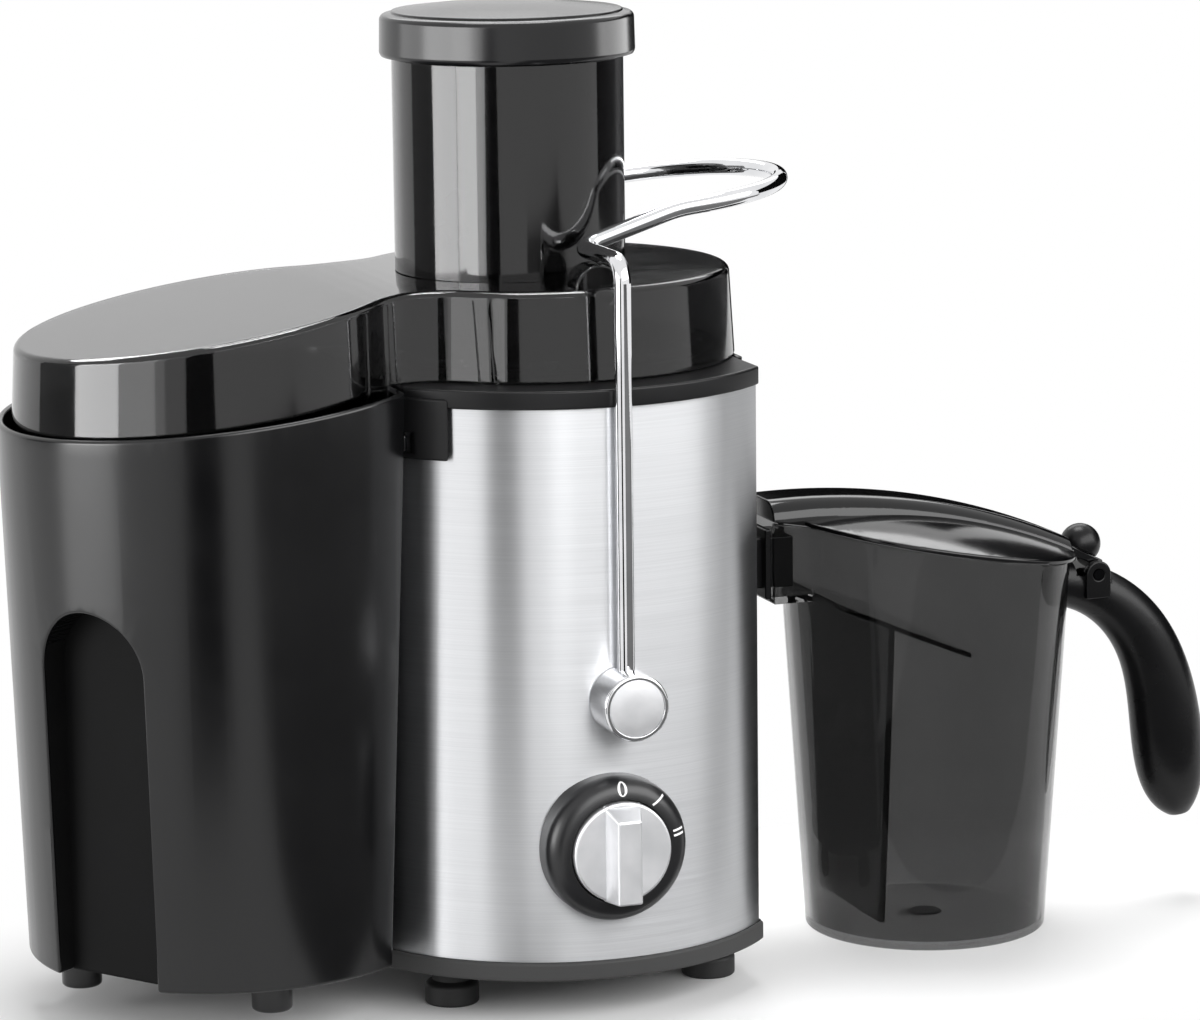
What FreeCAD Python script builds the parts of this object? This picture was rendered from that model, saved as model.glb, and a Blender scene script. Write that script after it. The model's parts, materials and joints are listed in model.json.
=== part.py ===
import FreeCAD, Part
import Sketcher
import math
import os
import re

# Centrifugal juicer, millimetres. Every piece is drawn about the drive axis, with the table at Z = 0, the jug
# towards +X, the pulp bin towards -X and the dial facing -Y, and is then set off to the footprint's centre.

SIZES = {
    # clearances, and how far a cutting tool runs past what it cuts
    "past": 1, "snug_gap": 0.1, "run_gap": 0.06, "fit_gap": 0.4, "slide_gap": 0.6,
    # feet and base tray
    "foot_height": 15.5, "foot_x": 48, "foot_y": 37, "foot_disc_r": 9.5, "foot_disc_h": 7, "foot_neck_r": 7,
    "foot_screw_r": 2, "foot_head_r": 4, "foot_head_h": 2.7, "foot_web": 6.5,
    "foot_step": 1.5, "foot_screw_short": 3,
    "boss_wall": 3.4, "boss_h": 21, "boss_rib": 3, "boss_cap": 2,
    "tray_out": 1.5, "tray_h": 6.5, "tray_floor": 3, "tray_lip": 1.5,
    "vent_count": 8, "vent_orbit": 30, "vent_w": 5, "vent_len": 16,
    # motor housing, steel jacket and top ring
    "jacket_r": 81.5, "jacket_t": 0.8, "jacket_h": 192.5, "housing_wall": 2.4, "bore_deep": 20,
    "left_out": 6.5, "left_lean": 2.4, "right_out": 1,
    "deck_gap": 19, "deck_t": 3,
    "ring_out": 2.1, "ring_h": 6.5, "tab_t": 2.4, "tab_drop": 18, "tab_side": 12,
    "tab_slot_h": 7, "tab_slot_drop": 9, "tab_slot_deep": 2.6, "lug_w": 3, "lug_out": 3.2, "lug_short": 1.2,
    # juice bowl and spout
    "bowl_r": 60, "bowl_wall": 1.8, "bowl_depth": 73, "bowl_floor": 3, "flange_out": 6, "bowl_flange_t": 2.5,
    "collar_r": 18, "collar_wall": 2, "collar_h": 17,
    "spout_w": 21, "spout_h": 18.5, "spout_drop": 16, "spout_reach": 31, "spout_wall": 2, "spout_root": 17,
    "stop_out": 19, "stop_t": 2.4, "stop_lip": 3.5,
    "apron_r": 35, "apron_t": 2.4, "apron_lap": 3, "apron_rise": 29,
    # lid
    "lid_out": 9, "lid_draft": 1.6, "lid_h": 31.5, "lid_wall": 2.5, "lid_round": 4,
    "seal_w": 3.5, "seal_t": 1.5, "seal_inset": 0.6,
    "chute_in": 19.6, "chute_wall": 2.5, "chute_off": 10, "chute_rise": 106, "chute_foot_gap": 4.5,
    "cover_out": 53, "cover_in": 6.7, "cover_draft": 1.8, "cover_rise": 23, "cover_tilt": 8.5,
    "cover_round": 4,
    "skirt_drop": 14, "skirt_gap": 4.5,
    "web_r": 20, "web_in": 30, "rest_r": 8.5, "rest_sink": 0.5, "rest_inset": 4, "rest_w": 12,
    # pusher
    "pusher_foot_gap": 4, "pusher_wall": 2.4, "cap_over": 4.2, "cap_h": 14.5, "cap_dome": 4,
    "cap_dome_r": 250, "cap_edge": 3.2,
    # pulp bin
    "bin_out": 51.5, "bin_low_in": 11.5, "bin_top_in": 5.5, "bin_low": 20, "bin_wall": 2.5, "bin_gap": 0.5,
    "bin_rim_drop": 5.8, "bin_rim_tilt": 5.5,
    "grip_half": 21.5, "grip_drop": 64.5, "grip_deep": 11, "grip_turn": 36, "grip_past": 10,
    "peg_r": 7, "peg_h": 10.5, "peg_inset": 16.5,
    # motor
    "damper_r": 6, "damper_h": 8, "damper_orbit": 38,
    "can_r": 46, "can_wall": 8, "plate_t": 4, "upper_can_h": 12, "lower_can_h": 15,
    "bearing_r": 11, "bearing_h": 7, "cup_wall": 2.5, "window_half": 20.7, "window_rim": 2,
    "winding_deep": 14.5, "air_gap": 0.5, "pole_half": 13, "coil_gap": 1.5, "coil_w": 6, "coil_over": 6,
    "bolt_r": 2, "bolt_head_r": 3.6, "bolt_head_h": 2.5,
    "shaft_r": 4, "commutator_r": 11, "commutator_h": 11, "brush_w": 6, "brush_len": 16, "holder_wall": 1.5,
    "holder_back": 3, "core_step": 4, "core_in": 3,
    "fan_r": 36, "fan_hub_r": 9, "fan_h": 10, "fan_disc": 1.6, "fan_blades": 9, "fan_blade_t": 1.4,
    "fan_drop": 3, "fan_lift": 4.5,
    "seal_ring_r": 12, "seal_ring_h": 8, "seal_proud": 2,
    # rotor parts in the bowl
    "coupling_r": 11, "coupling_h": 20, "lobe_bars": 3, "lobe_half": 3.3, "lobe_deep": 2.2,
    "hub_lift": 4, "hub_wall": 2.6, "sieve_lift": 27,
    "sieve_floor_in": 6.2, "sieve_top_in": 3.6, "sieve_h": 52, "sieve_t": 0.9, "sieve_floor_t": 2,
    "sieve_rim": 1.4, "sieve_rim_h": 3,
    "disc_in": 4.8, "disc_t": 2, "tooth_h": 2.2, "tooth_rows": 10, "tooth_per_row": 4, "tooth_len": 5,
    "tooth_w": 2.4,
    "nut_r": 10, "nut_h": 7, "nut_slope": 4, "stud_r": 3, "stud_short": 1.5, "shaft_short": 6,
    "tooth_lean": 0.6, "tooth_tip": 0.44, "tooth_start": 3, "tooth_sink": 0.2,
    # locking bail
    "bar_r": 3, "arm_out": 5.5, "bail_clear": 4.6, "bail_bend": 7, "bail_gap": 0.7,
    "bail_knee": 36, "bail_knee_rise": 11.5, "bail_reach": 88, "bail_tip_rise": 5.5, "knee_bend": 50,
    "knee_spare": 6.25, "bar_seat": 2,
    "hub_above": 13.8, "hub_r": 11.6, "hub_out": 16.5, "hub_edge": 1.5, "spigot_r": 5, "spigot_len": 10,
    "bush_wall": 3, "pin_screw_r": 2, "pin_head_r": 6.5, "pin_head_h": 2.5,
    # dial
    "dial_left": 4, "dial_rise": 40.7, "bezel_r": 25.4, "bezel_out": 10, "bezel_floor": 4.5, "bezel_edge": 5,
    "bezel_root": 8,
    "knob_r": 17.5, "knob_edge": 1.5, "knob_face": 12, "grip_w": 8.4, "grip_out": 7, "spindle_r": 3,
    "spindle_in": 10, "socket_web": 2,
    "pad_half": 16, "pad_deep": 11.5, "switch_half": 14, "switch_deep": 14, "switch_h": 24,
    # interlock switch and cord inlet
    "interlock_len": 20, "interlock_w": 7, "interlock_h": 11, "interlock_x": 22, "interlock_in": 23.5,
    "inlet_rise": 16, "inlet_r": 7, "inlet_bore": 3.4, "inlet_flange": 3,
    "inlet_lip": 2, "inlet_stand": 0.2, "inlet_len": 12,
    # jug
    "jug_out": 87, "jug_r_low": 44, "jug_slope": 0.066, "jug_over": 21.5, "jug_wall": 2.2, "jug_floor": 3,
    "jug_rim_rise": 12.5, "jug_rim_tilt": 10.2, "trough_gap": 3, "trough_side": 2.1, "trough_wall": 2.4,
    "trough_over": 30,
    "jug_lid_gap": 0.4, "jug_lid_over": 1.6, "jug_lid_wall": 2, "dome_r": 213, "dome_rise": 9.5,
    "ridge_r": 260, "ridge_out": 34, "ridge_rise": 19.5, "ridge_round": 8, "ridge_low": 30,
    "hinge_out": 12.3, "hinge_drop": 8.6, "pin_r": 2, "barrel_r": 4.5, "barrel_half": 6, "ear_r": 5,
    "ear_t": 3,
    "ear_drop": 9, "ear_gap": 2.6, "tongue_len": 17, "tongue_past": 3, "tongue_t": 3, "tongue_rise": 4.6,
    "tongue_tilt": 27, "ball_r": 7.5, "ball_back": 3.3, "ball_rise": 10.4,
    "shelf_t": 1.8, "shelf_left": 16, "shelf_right": 47, "wall_in": 28.5, "wall_lift": 6, "wall_drop": 24.5,
    "shelf_tilt": 22, "separator_gap": 0.8,
    # jug handle
    "handle_drop": 3.8, "handle_len": 92, "handle_out": 99, "handle_thick": 13.6, "handle_flat_ratio": 0.85,
    "handle_inside": 10,
    # the drive axis stands this far left of the centre of the footprint
    "axis_left": 33.6,
    # working size for half spaces
    "span": 700,
}

# Sizes that follow from the driving ones
FOLLOWING = {
    "left_face": "bowl_r + left_out", "right_face": "bowl_r + right_out",
    "bowl_flange_r": "bowl_r + flange_out", "lid_r": "bowl_r + lid_out",
    "chute_r": "bowl_r - chute_in", "cap_r": "chute_r + cap_over", "bail_half": "chute_r + bail_clear",
    "rest_out": "lid_r - rest_inset", "rest_in": "rest_out - rest_w",
    "sieve_floor_r": "bowl_r - sieve_floor_in", "sieve_top_r": "bowl_r - sieve_top_in",
    "disc_r": "sieve_floor_r - disc_in", "bore_r": "can_r - can_wall - winding_deep",
    "bin_r_low": "jacket_r - bin_low_in", "bin_r_top": "jacket_r - bin_top_in",
    "cover_r": "bin_r_top - cover_in",
}

doc = FreeCAD.newDocument("juicer")
sheet = doc.addObject("Spreadsheet::Sheet", "Sizes")
for row, (alias, amount) in enumerate(SIZES.items(), start=1):
    sheet.set("A%d" % row, alias)
    sheet.set("B%d" % row, str(amount))
    sheet.setAlias("B%d" % row, alias)
sums = doc.addObject("Spreadsheet::Sheet", "Sums")
doc.recompute()

# Levels and radii worked out from the driving sizes
TRAY_TOP = "(foot_height + tray_h)"
FLOOR_TOP = "(foot_height + tray_floor)"
RING_Z = "(foot_height + tray_h + jacket_h)"
RING_TOP = "(foot_height + tray_h + jacket_h + ring_h)"
HOUSING_R = "(jacket_r - jacket_t - snug_gap)"
TRAY_R = "(jacket_r + tray_out)"
RING_R = "(jacket_r + ring_out)"
BOWL_Z = f"({RING_TOP} - bowl_depth)"
DECK_TOP = f"({BOWL_Z} - deck_gap)"
DECK_Z = f"({DECK_TOP} - deck_t)"
SPOUT_Z = f"({BOWL_Z} - spout_drop)"
APRON_Z = f"({SPOUT_Z} + apron_rise)"
LID_TOP = f"({RING_TOP} + lid_h)"
CHUTE_TOP = f"({RING_TOP} + chute_rise)"
SIEVE_Z = f"({BOWL_Z} + sieve_lift)"
DISC_Z = f"({SIEVE_Z} + sieve_floor_t)"
DISC_TOP = f"({DISC_Z} + disc_t)"
CHUTE_FOOT = f"({DISC_TOP} + tooth_h + chute_foot_gap)"
NUT_TOP = f"({DISC_TOP} + nut_h)"
PUSHER_FOOT = f"({NUT_TOP} + pusher_foot_gap)"
CHUTE_BORE = "(chute_r - chute_wall)"
PUSHER_R = "(chute_r - chute_wall - slide_gap)"
PLATE_Z = f"({DECK_Z} - damper_h - plate_t)"
STACK_TOP = f"({PLATE_Z} - upper_can_h)"
FAN_Z = f"({FLOOR_TOP} + fan_lift)"
LOW_PLATE_Z = f"({FAN_Z} + fan_h + fan_drop + bearing_h)"
LOW_PLATE_TOP = f"({LOW_PLATE_Z} + plate_t)"
STACK_Z = f"({LOW_PLATE_TOP} + lower_can_h)"
CUP_R = "(bearing_r + snug_gap + cup_wall)"
COUPLING_Z = f"({SIEVE_Z} - coupling_h)"
BAIL_Z = f"({LID_TOP} - rest_sink + rest_r + bail_gap + bar_r)"
HUB_BACK = "(jacket_r + fit_gap)"
HUB_FACE = "(jacket_r + hub_out)"
ARM_Y = "(jacket_r + arm_out)"
PAD_FACE = "(jacket_r - pad_deep)"
DIAL_Z = f"({TRAY_TOP} + dial_rise)"
PIVOT_Z = f"({DIAL_Z} + bezel_r + hub_r + hub_above)"
INLET_Z = f"({TRAY_TOP} + inlet_rise)"
BIN_RIM_Z = f"({RING_TOP} - bin_rim_drop)"
JUG_RIM_Z = f"({SPOUT_Z} + jug_rim_rise)"
BIN_X = "(left_face + bin_out)"
COVER_X = "(left_face + cover_out)"
STOP_X = "(right_face + stop_out)"
TROUGH_X = f"({STOP_X} + stop_t + slide_gap)"
JUG_X = "(right_face + jug_out)"
JUG_TOP = f"({JUG_RIM_Z} + jug_over)"
JUG_R_TOP = f"(jug_r_low + jug_slope * {JUG_TOP})"
JUG_RIM_R = f"(jug_r_low + jug_slope * {JUG_RIM_Z})"
HINGE_X = f"({JUG_X} + {JUG_RIM_R} + hinge_out)"
HINGE_Z = f"({JUG_RIM_Z} - {JUG_RIM_R} * tan(jug_rim_tilt) - hinge_drop)"
HANDLE_TOP = f"({HINGE_Z} - handle_drop)"
WALL_TOP = f"({JUG_RIM_Z} - wall_drop)"
GRIP_TOP = f"({RING_Z} - grip_drop)"

ALIAS = re.compile(r"\b(" + "|".join(SIZES) + r")\b")
FOLLOWER = re.compile(r"\b(" + "|".join(FOLLOWING) + r")\b")
NODES = {}


def spelled_out(formula):
    """Write a formula with the driving sizes only."""
    text = str(formula)
    while FOLLOWER.search(text):
        text = FOLLOWER.sub(lambda found: "(" + FOLLOWING[found.group(1)] + ")", text)
    return text


def sheet_formula(formula):
    """Point every size name in a formula at its cell."""
    return ALIAS.sub(r"Sizes.\1", spelled_out(formula))


def number(formula):
    """Let the sheet work out a formula, and return the number."""
    sums.set("A1", "=" + sheet_formula(formula))
    sums.recompute()
    return float(sums.get("A1"))


def bind(item, **formulas):
    for prop, formula in formulas.items():
        item.setExpression(prop.replace("__", "."), sheet_formula(formula))
    return item


def seat(item, x="0", y="0", z="0"):
    return bind(item, Placement__Base__x=x, Placement__Base__y=y, Placement__Base__z=z)


def box(x0, x1, y0, y1, z0, z1):
    item = doc.addObject("Part::Box", "Block")
    bind(item, Length=f"({x1}) - ({x0})", Width=f"({y1}) - ({y0})", Height=f"({z1}) - ({z0})")
    return seat(item, x0, y0, z0)


AXIS_TURN = {
    "z": FreeCAD.Rotation(),
    "y": FreeCAD.Rotation(FreeCAD.Vector(1, 0, 0), -90),
    "x": FreeCAD.Rotation(FreeCAD.Vector(0, 1, 0), 90),
}


def rod(axis, radius, start, end, first="0", second="0"):
    """A cylinder along an axis; first and second are its place on the other two axes."""
    item = doc.addObject("Part::Cylinder", "Rod")
    item.Placement = FreeCAD.Placement(FreeCAD.Vector(), AXIS_TURN[axis])
    bind(item, Radius=radius, Height=f"({end}) - ({start})")
    place = {"x": (start, first, second), "y": (first, start, second), "z": (first, second, start)}[axis]
    return seat(item, *place)


def cone(low_r, top_r, z0, z1, x="0", y="0"):
    item = doc.addObject("Part::Cone", "Cone")
    bind(item, Radius1=low_r, Radius2=top_r, Height=f"({z1}) - ({z0})")
    return seat(item, x, y, z0)


def ball(radius, x, y, z):
    item = doc.addObject("Part::Sphere", "Ball")
    return seat(bind(item, Radius=radius), x, y, z)


def fuse(*items):
    item = doc.addObject("Part::MultiFuse", "Joined")
    item.Shapes = list(items)
    item.Refine = True
    return item


def cut(base, *tools):
    item = doc.addObject("Part::Cut", "Cut")
    item.Base = base
    item.Tool = tools[0] if len(tools) == 1 else fuse(*tools)
    item.Refine = True
    return item


def common(first, second):
    item = doc.addObject("Part::Common", "Shared")
    item.Base = first
    item.Tool = second
    return item


def group(*items):
    item = doc.addObject("Part::Compound", "Group")
    item.Links = list(items)
    return item


def placed(items, x="0", y="0", z="0", axis=(0, 0, 1), turn="0"):
    """A copy of one item or more, turned about its own origin and then moved."""
    item = group(*(items if isinstance(items, (list, tuple)) else [items]))
    item.Placement = FreeCAD.Placement(FreeCAD.Vector(), FreeCAD.Rotation(FreeCAD.Vector(*axis), 1))
    bind(item, Placement__Rotation__Angle=turn)
    return seat(item, x, y, z)


def mirrored(item, normal=(0, 1, 0)):
    copy = doc.addObject("Part::Mirroring", "Mirrored")
    copy.Source = item
    copy.Normal = FreeCAD.Vector(*normal)
    return copy


def both_sides(item):
    return group(item, mirrored(item))


def turned(points, axis="z", x="0", z="0"):
    """A body turned from a closed outline of (radius, height); along y the height runs towards -Y."""
    body = doc.addObject("PartDesign::Body", "Turned")
    sketch = body.newObject("Sketcher::SketchObject", "Outline")
    plane = [feature for feature in body.Origin.OriginFeatures if feature.Role == "XZ_Plane"][0]
    sketch.AttachmentSupport = [(plane, "")]
    sketch.MapMode = "FlatFace"
    corners = [FreeCAD.Vector(number(radius), number(height), 0) for radius, height in points]
    count = len(corners)
    for i in range(count):
        sketch.addGeometry(Part.LineSegment(corners[i], corners[(i + 1) % count]), False)
    for i in range(count):
        sketch.addConstraint(Sketcher.Constraint("Coincident", i, 2, (i + 1) % count, 1))
        for kind, value, formula in zip(("DistanceX", "DistanceY"), corners[i], points[i]):
            index = sketch.addConstraint(Sketcher.Constraint(kind, -1, 1, i, 1, value))
            sketch.setExpression("Constraints[%d]" % index, sheet_formula(formula))
    turn = body.newObject("PartDesign::Revolution", "Turn")
    turn.Profile = sketch
    turn.ReferenceAxis = (sketch, ["V_Axis"])
    turn.Angle = 360
    if axis == "y":
        body.Placement = FreeCAD.Placement(FreeCAD.Vector(), FreeCAD.Rotation(FreeCAD.Vector(1, 0, 0), 90))
    return seat(body, x, "0", z)


def above(x, z, tilt):
    """All space above a plane that rises towards +X by the tilt."""
    block = box("-span / 2", "span / 2", "-span / 2", "span / 2", "0", "span")
    return placed(block, x, "0", z, (0, 1, 0), f"-({tilt})")


def beyond_left(inset):
    """All space outside the leaning left face, moved inwards by the inset."""
    block = box("-span", "0", "-span / 2", "span / 2", "-span / 2", "span / 2")
    return placed(block, f"-left_face + ({inset})", "0", RING_Z, (0, 1, 0), "left_lean")


def beyond_right(inset):
    return box(f"right_face - ({inset})", "span", "-span / 2", "span / 2", "-span / 2", "span / 2")


def body_plan(radius, z0, z1, left_inset, right_inset):
    """A round plan with the two side faces taken off."""
    return cut(rod("z", radius, z0, z1), beyond_left(left_inset), beyond_right(right_inset))


def at_feet(item):
    return [placed(item, x, y) for x in ("foot_x", "-foot_x") for y in ("foot_y", "-foot_y")]


def node(label, item):
    """Name a finished piece, and set it off from the drive axis to the centre of the footprint."""
    piece = placed(item, "-axis_left")
    piece.Label = label
    NODES[label] = piece


def base_and_feet():
    head_z = "(foot_height - foot_web)"
    foot = turned([
        ("foot_head_r + fit_gap", "0"), ("foot_disc_r", "0"), ("foot_disc_r", "foot_disc_h"),
        ("foot_neck_r", "foot_disc_h + foot_step"), ("foot_neck_r", "foot_height"),
        ("foot_screw_r + snug_gap", "foot_height"), ("foot_screw_r + snug_gap", head_z),
        ("foot_head_r + fit_gap", head_z),
    ])
    node("feet", group(*at_feet(foot)))
    screw = fuse(
        rod("z", "foot_head_r", f"{head_z} - foot_head_h", head_z),
        rod("z", "foot_screw_r", head_z, f"{FLOOR_TOP} + boss_h - foot_screw_short"),
    )
    node("foot_screws", group(*at_feet(screw)))
    outer = body_plan(TRAY_R, "foot_height", TRAY_TOP, "0", "-tray_lip")
    cavity = body_plan(f"{HOUSING_R} + snug_gap", FLOOR_TOP, f"{TRAY_TOP} + past", "-tray_lip", "-snug_gap")
    holes = at_feet(rod("z", "foot_screw_r + snug_gap", "0", TRAY_TOP))
    slot = box("vent_orbit", "vent_orbit + vent_len", "-vent_w / 2", "vent_w / 2", "0", TRAY_TOP)
    count = int(number("vent_count"))
    vents = [placed(slot, turn=f"{i} * 360 / vent_count + 90") for i in range(count)]
    node("base_tray", cut(outer, cavity, *holes, *vents))


def housing():
    wall = "housing_wall"
    outer = body_plan(HOUSING_R, FLOOR_TOP, RING_Z, "0", "0")
    lower = body_plan(f"{HOUSING_R} - {wall}", f"{FLOOR_TOP} - past", DECK_Z, wall, wall)
    upper = body_plan(f"{HOUSING_R} - {wall}", DECK_TOP, f"{RING_Z} + past", wall, wall)
    notch_r = "(apron_r - apron_lap)"
    notch = fuse(
        rod("x", notch_r, f"right_face - {wall} - past", "right_face + past", "0", APRON_Z),
        box(f"right_face - {wall} - past", "right_face + past", f"-{notch_r}", notch_r, APRON_Z,
            f"{RING_Z} + past"),
    )
    shell = cut(outer, lower, upper, notch)
    boss_r = "(foot_screw_r + boss_wall)"
    boss_top = f"{FLOOR_TOP} + boss_h"
    bosses = at_feet(rod("z", boss_r, FLOOR_TOP, boss_top))
    ribs = []
    for side in ("foot_y", "-foot_y"):
        rib_y = (f"{side} - boss_rib / 2", f"{side} + boss_rib / 2")
        ribs.append(box("foot_x", "span / 2", *rib_y, FLOOR_TOP, boss_top))
        ribs.append(box("-span / 2", "-foot_x", *rib_y, FLOOR_TOP, boss_top))
    pad = box("-dial_left - pad_half", "-dial_left + pad_half", "-span / 2", f"-{PAD_FACE}",
              f"{DIAL_Z} - pad_half", f"{DIAL_Z} + pad_half")
    half_wall = f"{wall} / 2"
    filled = body_plan(f"{HOUSING_R} - {half_wall}", FLOOR_TOP, RING_Z, half_wall, half_wall)
    inner = common(fuse(pad, *ribs), filled)
    holes = at_feet(rod("z", "foot_screw_r + snug_gap", "0", f"{boss_top} - boss_cap"))
    holes.append(rod("z", "seal_ring_r + snug_gap", f"{DECK_Z} - past", f"{DECK_TOP} + past"))
    holes.append(rod("y", "spindle_r + fit_gap", "-jacket_r", f"-{PAD_FACE} + past", "-dial_left", DIAL_Z))
    bush_r = "spigot_r + bush_wall + snug_gap"
    holes.append(rod("y", bush_r, "-jacket_r", "-jacket_r + bore_deep", "0", PIVOT_Z))
    holes.append(rod("y", bush_r, "jacket_r - bore_deep", "jacket_r", "0", PIVOT_Z))
    holes.append(rod("y", "inlet_r + snug_gap", "jacket_r - bore_deep", "jacket_r", "0", INLET_Z))
    node("motor_housing", cut(fuse(shell, inner, *bosses), *holes))


def jacket():
    shell = cut(
        body_plan("jacket_r", TRAY_TOP, RING_Z, "snug_gap", "snug_gap"),
        rod("z", "jacket_r - jacket_t", f"{TRAY_TOP} - past", f"{RING_Z} + past"),
        rod("y", "spindle_r + fit_gap", "-jacket_r - past", "0", "-dial_left", DIAL_Z),
        rod("y", "spigot_r + bush_wall + snug_gap", "-jacket_r - past", "jacket_r + past", "0", PIVOT_Z),
        rod("y", "inlet_r + snug_gap", "0", "jacket_r + past", "0", INLET_Z),
    )
    half = ("-span / 2", "span / 2")
    node("jacket_front", cut(shell, box(*half, "0", "span", *half)))
    node("jacket_rear", cut(shell, box(*half, "-span", "0", *half)))


def top_ring():
    mouth_half = "(apron_r - apron_lap)"
    plate = cut(body_plan(RING_R, RING_Z, RING_TOP, "0", "snug_gap * 2"),
                rod("z", "bowl_r + slide_gap", f"{RING_Z} - past", f"{RING_TOP} + past"),
                box("0", "span / 2", f"-{mouth_half}", mouth_half, f"{RING_Z} - past", f"{RING_TOP} + past"))
    skin = cut(rod("z", "jacket_r + snug_gap + tab_t", f"{RING_Z} - tab_drop", f"{RING_Z} + ring_h / 2"),
               rod("z", "jacket_r + snug_gap", f"{RING_Z} - tab_drop - past", RING_Z),
               rod("z", "jacket_r - tab_t", RING_Z, RING_TOP))
    corner = cut(box("-left_face - past * 2", "-left_face + tab_side", "-span / 2", "0", "0", "span"),
                 beyond_left("0"))
    tab = common(skin, corner)
    slot_top = f"({RING_Z} - tab_slot_drop)"
    slot = box("-left_face - past * 2", "-left_face + tab_slot_deep", "-span / 2", "0",
               f"{slot_top} - tab_slot_h",
               slot_top)
    hooked = cut(tab, slot)
    node("top_ring", fuse(plate, hooked, mirrored(hooked)))


def bowl():
    inner_r = "(bowl_r - bowl_wall)"
    spout_y = ("-spout_w / 2", "spout_w / 2")
    way_y = ("-spout_w / 2 + spout_wall", "spout_w / 2 - spout_wall")
    way_x = "right_face - spout_root + spout_wall"
    spout_top = f"{SPOUT_Z} + spout_h"
    floor_way = box(way_x, f"{inner_r} - spout_wall", *way_y, f"{SPOUT_Z} + spout_wall",
                    f"{BOWL_Z} + bowl_floor + past")
    spout = fuse(
        box("right_face - spout_root", "right_face + spout_reach", *spout_y, SPOUT_Z, spout_top),
        box(STOP_X, f"{STOP_X} + stop_t", "-spout_w / 2 - stop_lip", "spout_w / 2 + stop_lip",
            f"{SPOUT_Z} - stop_lip", f"{spout_top} + stop_lip"),
    )
    way_out = box(way_x, "right_face + spout_reach + past", *way_y, f"{SPOUT_Z} + spout_wall",
                  f"{spout_top} - spout_wall")
    node("juice_spout", cut(spout, way_out, floor_way, rod("z", "bowl_r + snug_gap", BOWL_Z, RING_TOP)))
    shell = fuse(
        rod("z", "bowl_r", BOWL_Z, RING_TOP),
        rod("z", "bowl_flange_r", RING_TOP, f"{RING_TOP} + bowl_flange_t"),
        rod("x", "apron_r", "right_face", "right_face + apron_t", "0", APRON_Z),
        box("right_face", "right_face + apron_t", "-apron_r", "apron_r", APRON_Z, RING_TOP),
    )
    spout_hole = box("right_face - past", "right_face + apron_t + past", "-spout_w / 2 - snug_gap",
                     "spout_w / 2 + snug_gap",
                     f"{SPOUT_Z} - snug_gap", f"{spout_top} + snug_gap")
    collar_top = f"{BOWL_Z} + bowl_floor + collar_h"
    hollow = cut(rod("z", inner_r, f"{BOWL_Z} + bowl_floor", f"{RING_TOP} + bowl_flange_t + past"),
                 rod("z", "collar_r", BOWL_Z, collar_top))
    shaft_way = rod("z", "collar_r - collar_wall", f"{BOWL_Z} - past", f"{collar_top} + past")
    node("juice_bowl", cut(shell, hollow, floor_way, spout_hole, shaft_way))
    seal_r = "(bowl_flange_r - seal_inset)"
    seal_z = f"({RING_TOP} + bowl_flange_t)"
    node("lid_seal", cut(rod("z", seal_r, seal_z, f"{seal_z} + seal_t"),
                         rod("z", f"{seal_r} - seal_w", f"{seal_z} - past", f"{seal_z} + seal_t + past")))


def rounded(item, radius, rank, count=1):
    """Round the edges of an item that rank highest."""
    doc.recompute()
    places = sorted(range(len(item.Shape.Edges)), key=lambda i: rank(item.Shape.Edges[i]))
    rolled = doc.addObject("Part::Fillet", "Rounded")
    rolled.Base = item
    rolled.Edges = [(place + 1, number(radius), number(radius)) for place in places[-count:]]
    return rolled


def height(edge):
    return edge.CenterOfMass.z


def rim_height(edge):
    return (edge.isClosed() and edge.Length > number("past"), height(edge))


def lid():
    top_r = "(lid_r - lid_draft)"
    cap = rounded(cone("lid_r", top_r, RING_TOP, LID_TOP), "lid_round", rim_height)
    cap_hollow = cone("lid_r - lid_wall", f"{top_r} - lid_wall", f"{RING_TOP} - past",
                      f"{LID_TOP} - lid_wall")
    skirt_z = f"({BIN_RIM_Z} - skirt_drop)"
    cover_z = f"({RING_TOP} + cover_rise)"
    over_z = f"({cover_z} + cover_r * tan(cover_tilt) * 2)"
    slant = above(f"-{COVER_X}", cover_z, "cover_tilt")
    cover = rounded(cut(cone("cover_r", "cover_r - cover_draft", skirt_z, over_z, f"-{COVER_X}"), slant),
                    "cover_round", rim_height)
    cover_hollow = cut(
        cone("cover_r - lid_wall", "cover_r - cover_draft - lid_wall", f"{skirt_z} - past",
             f"{over_z} - past",
             f"-{COVER_X}"),
        above(f"-{COVER_X}", f"{cover_z} - lid_wall", "cover_tilt"),
    )
    wall_r = "(lid_r - lid_draft / 2)"
    corner_x = f"({COVER_X} / 2)"
    corner_y = f"sqrt(({wall_r} + web_r) ^ 2 - {corner_x} ^ 2)"
    reach = f"(web_r * {corner_x} / ({wall_r} + web_r))"
    web = cut(box(f"-{corner_x} - {reach}", f"-{corner_x} + {reach}", f"-{corner_y}", "-web_in", RING_TOP,
                  LID_TOP),
              rod("z", "web_r", "0", "span", f"-{corner_x}", f"-{corner_y}"), slant)
    behind_bin = box("-left_face - skirt_gap", "0", "-span / 2", "span / 2", "0", RING_TOP)
    rest = rod("y", "rest_r", "-rest_out", "-rest_in", "0", f"{LID_TOP} - rest_sink")
    shell = cut(fuse(cap, cover, web, mirrored(web), rest, mirrored(rest)), cap_hollow, cover_hollow,
                behind_bin)
    chute = rod("z", "chute_r", CHUTE_FOOT, CHUTE_TOP, "-chute_off")
    bore = rod("z", CHUTE_BORE, f"{CHUTE_FOOT} - past", f"{CHUTE_TOP} + past", "-chute_off")
    node("lid", cut(fuse(shell, chute), bore))


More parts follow.
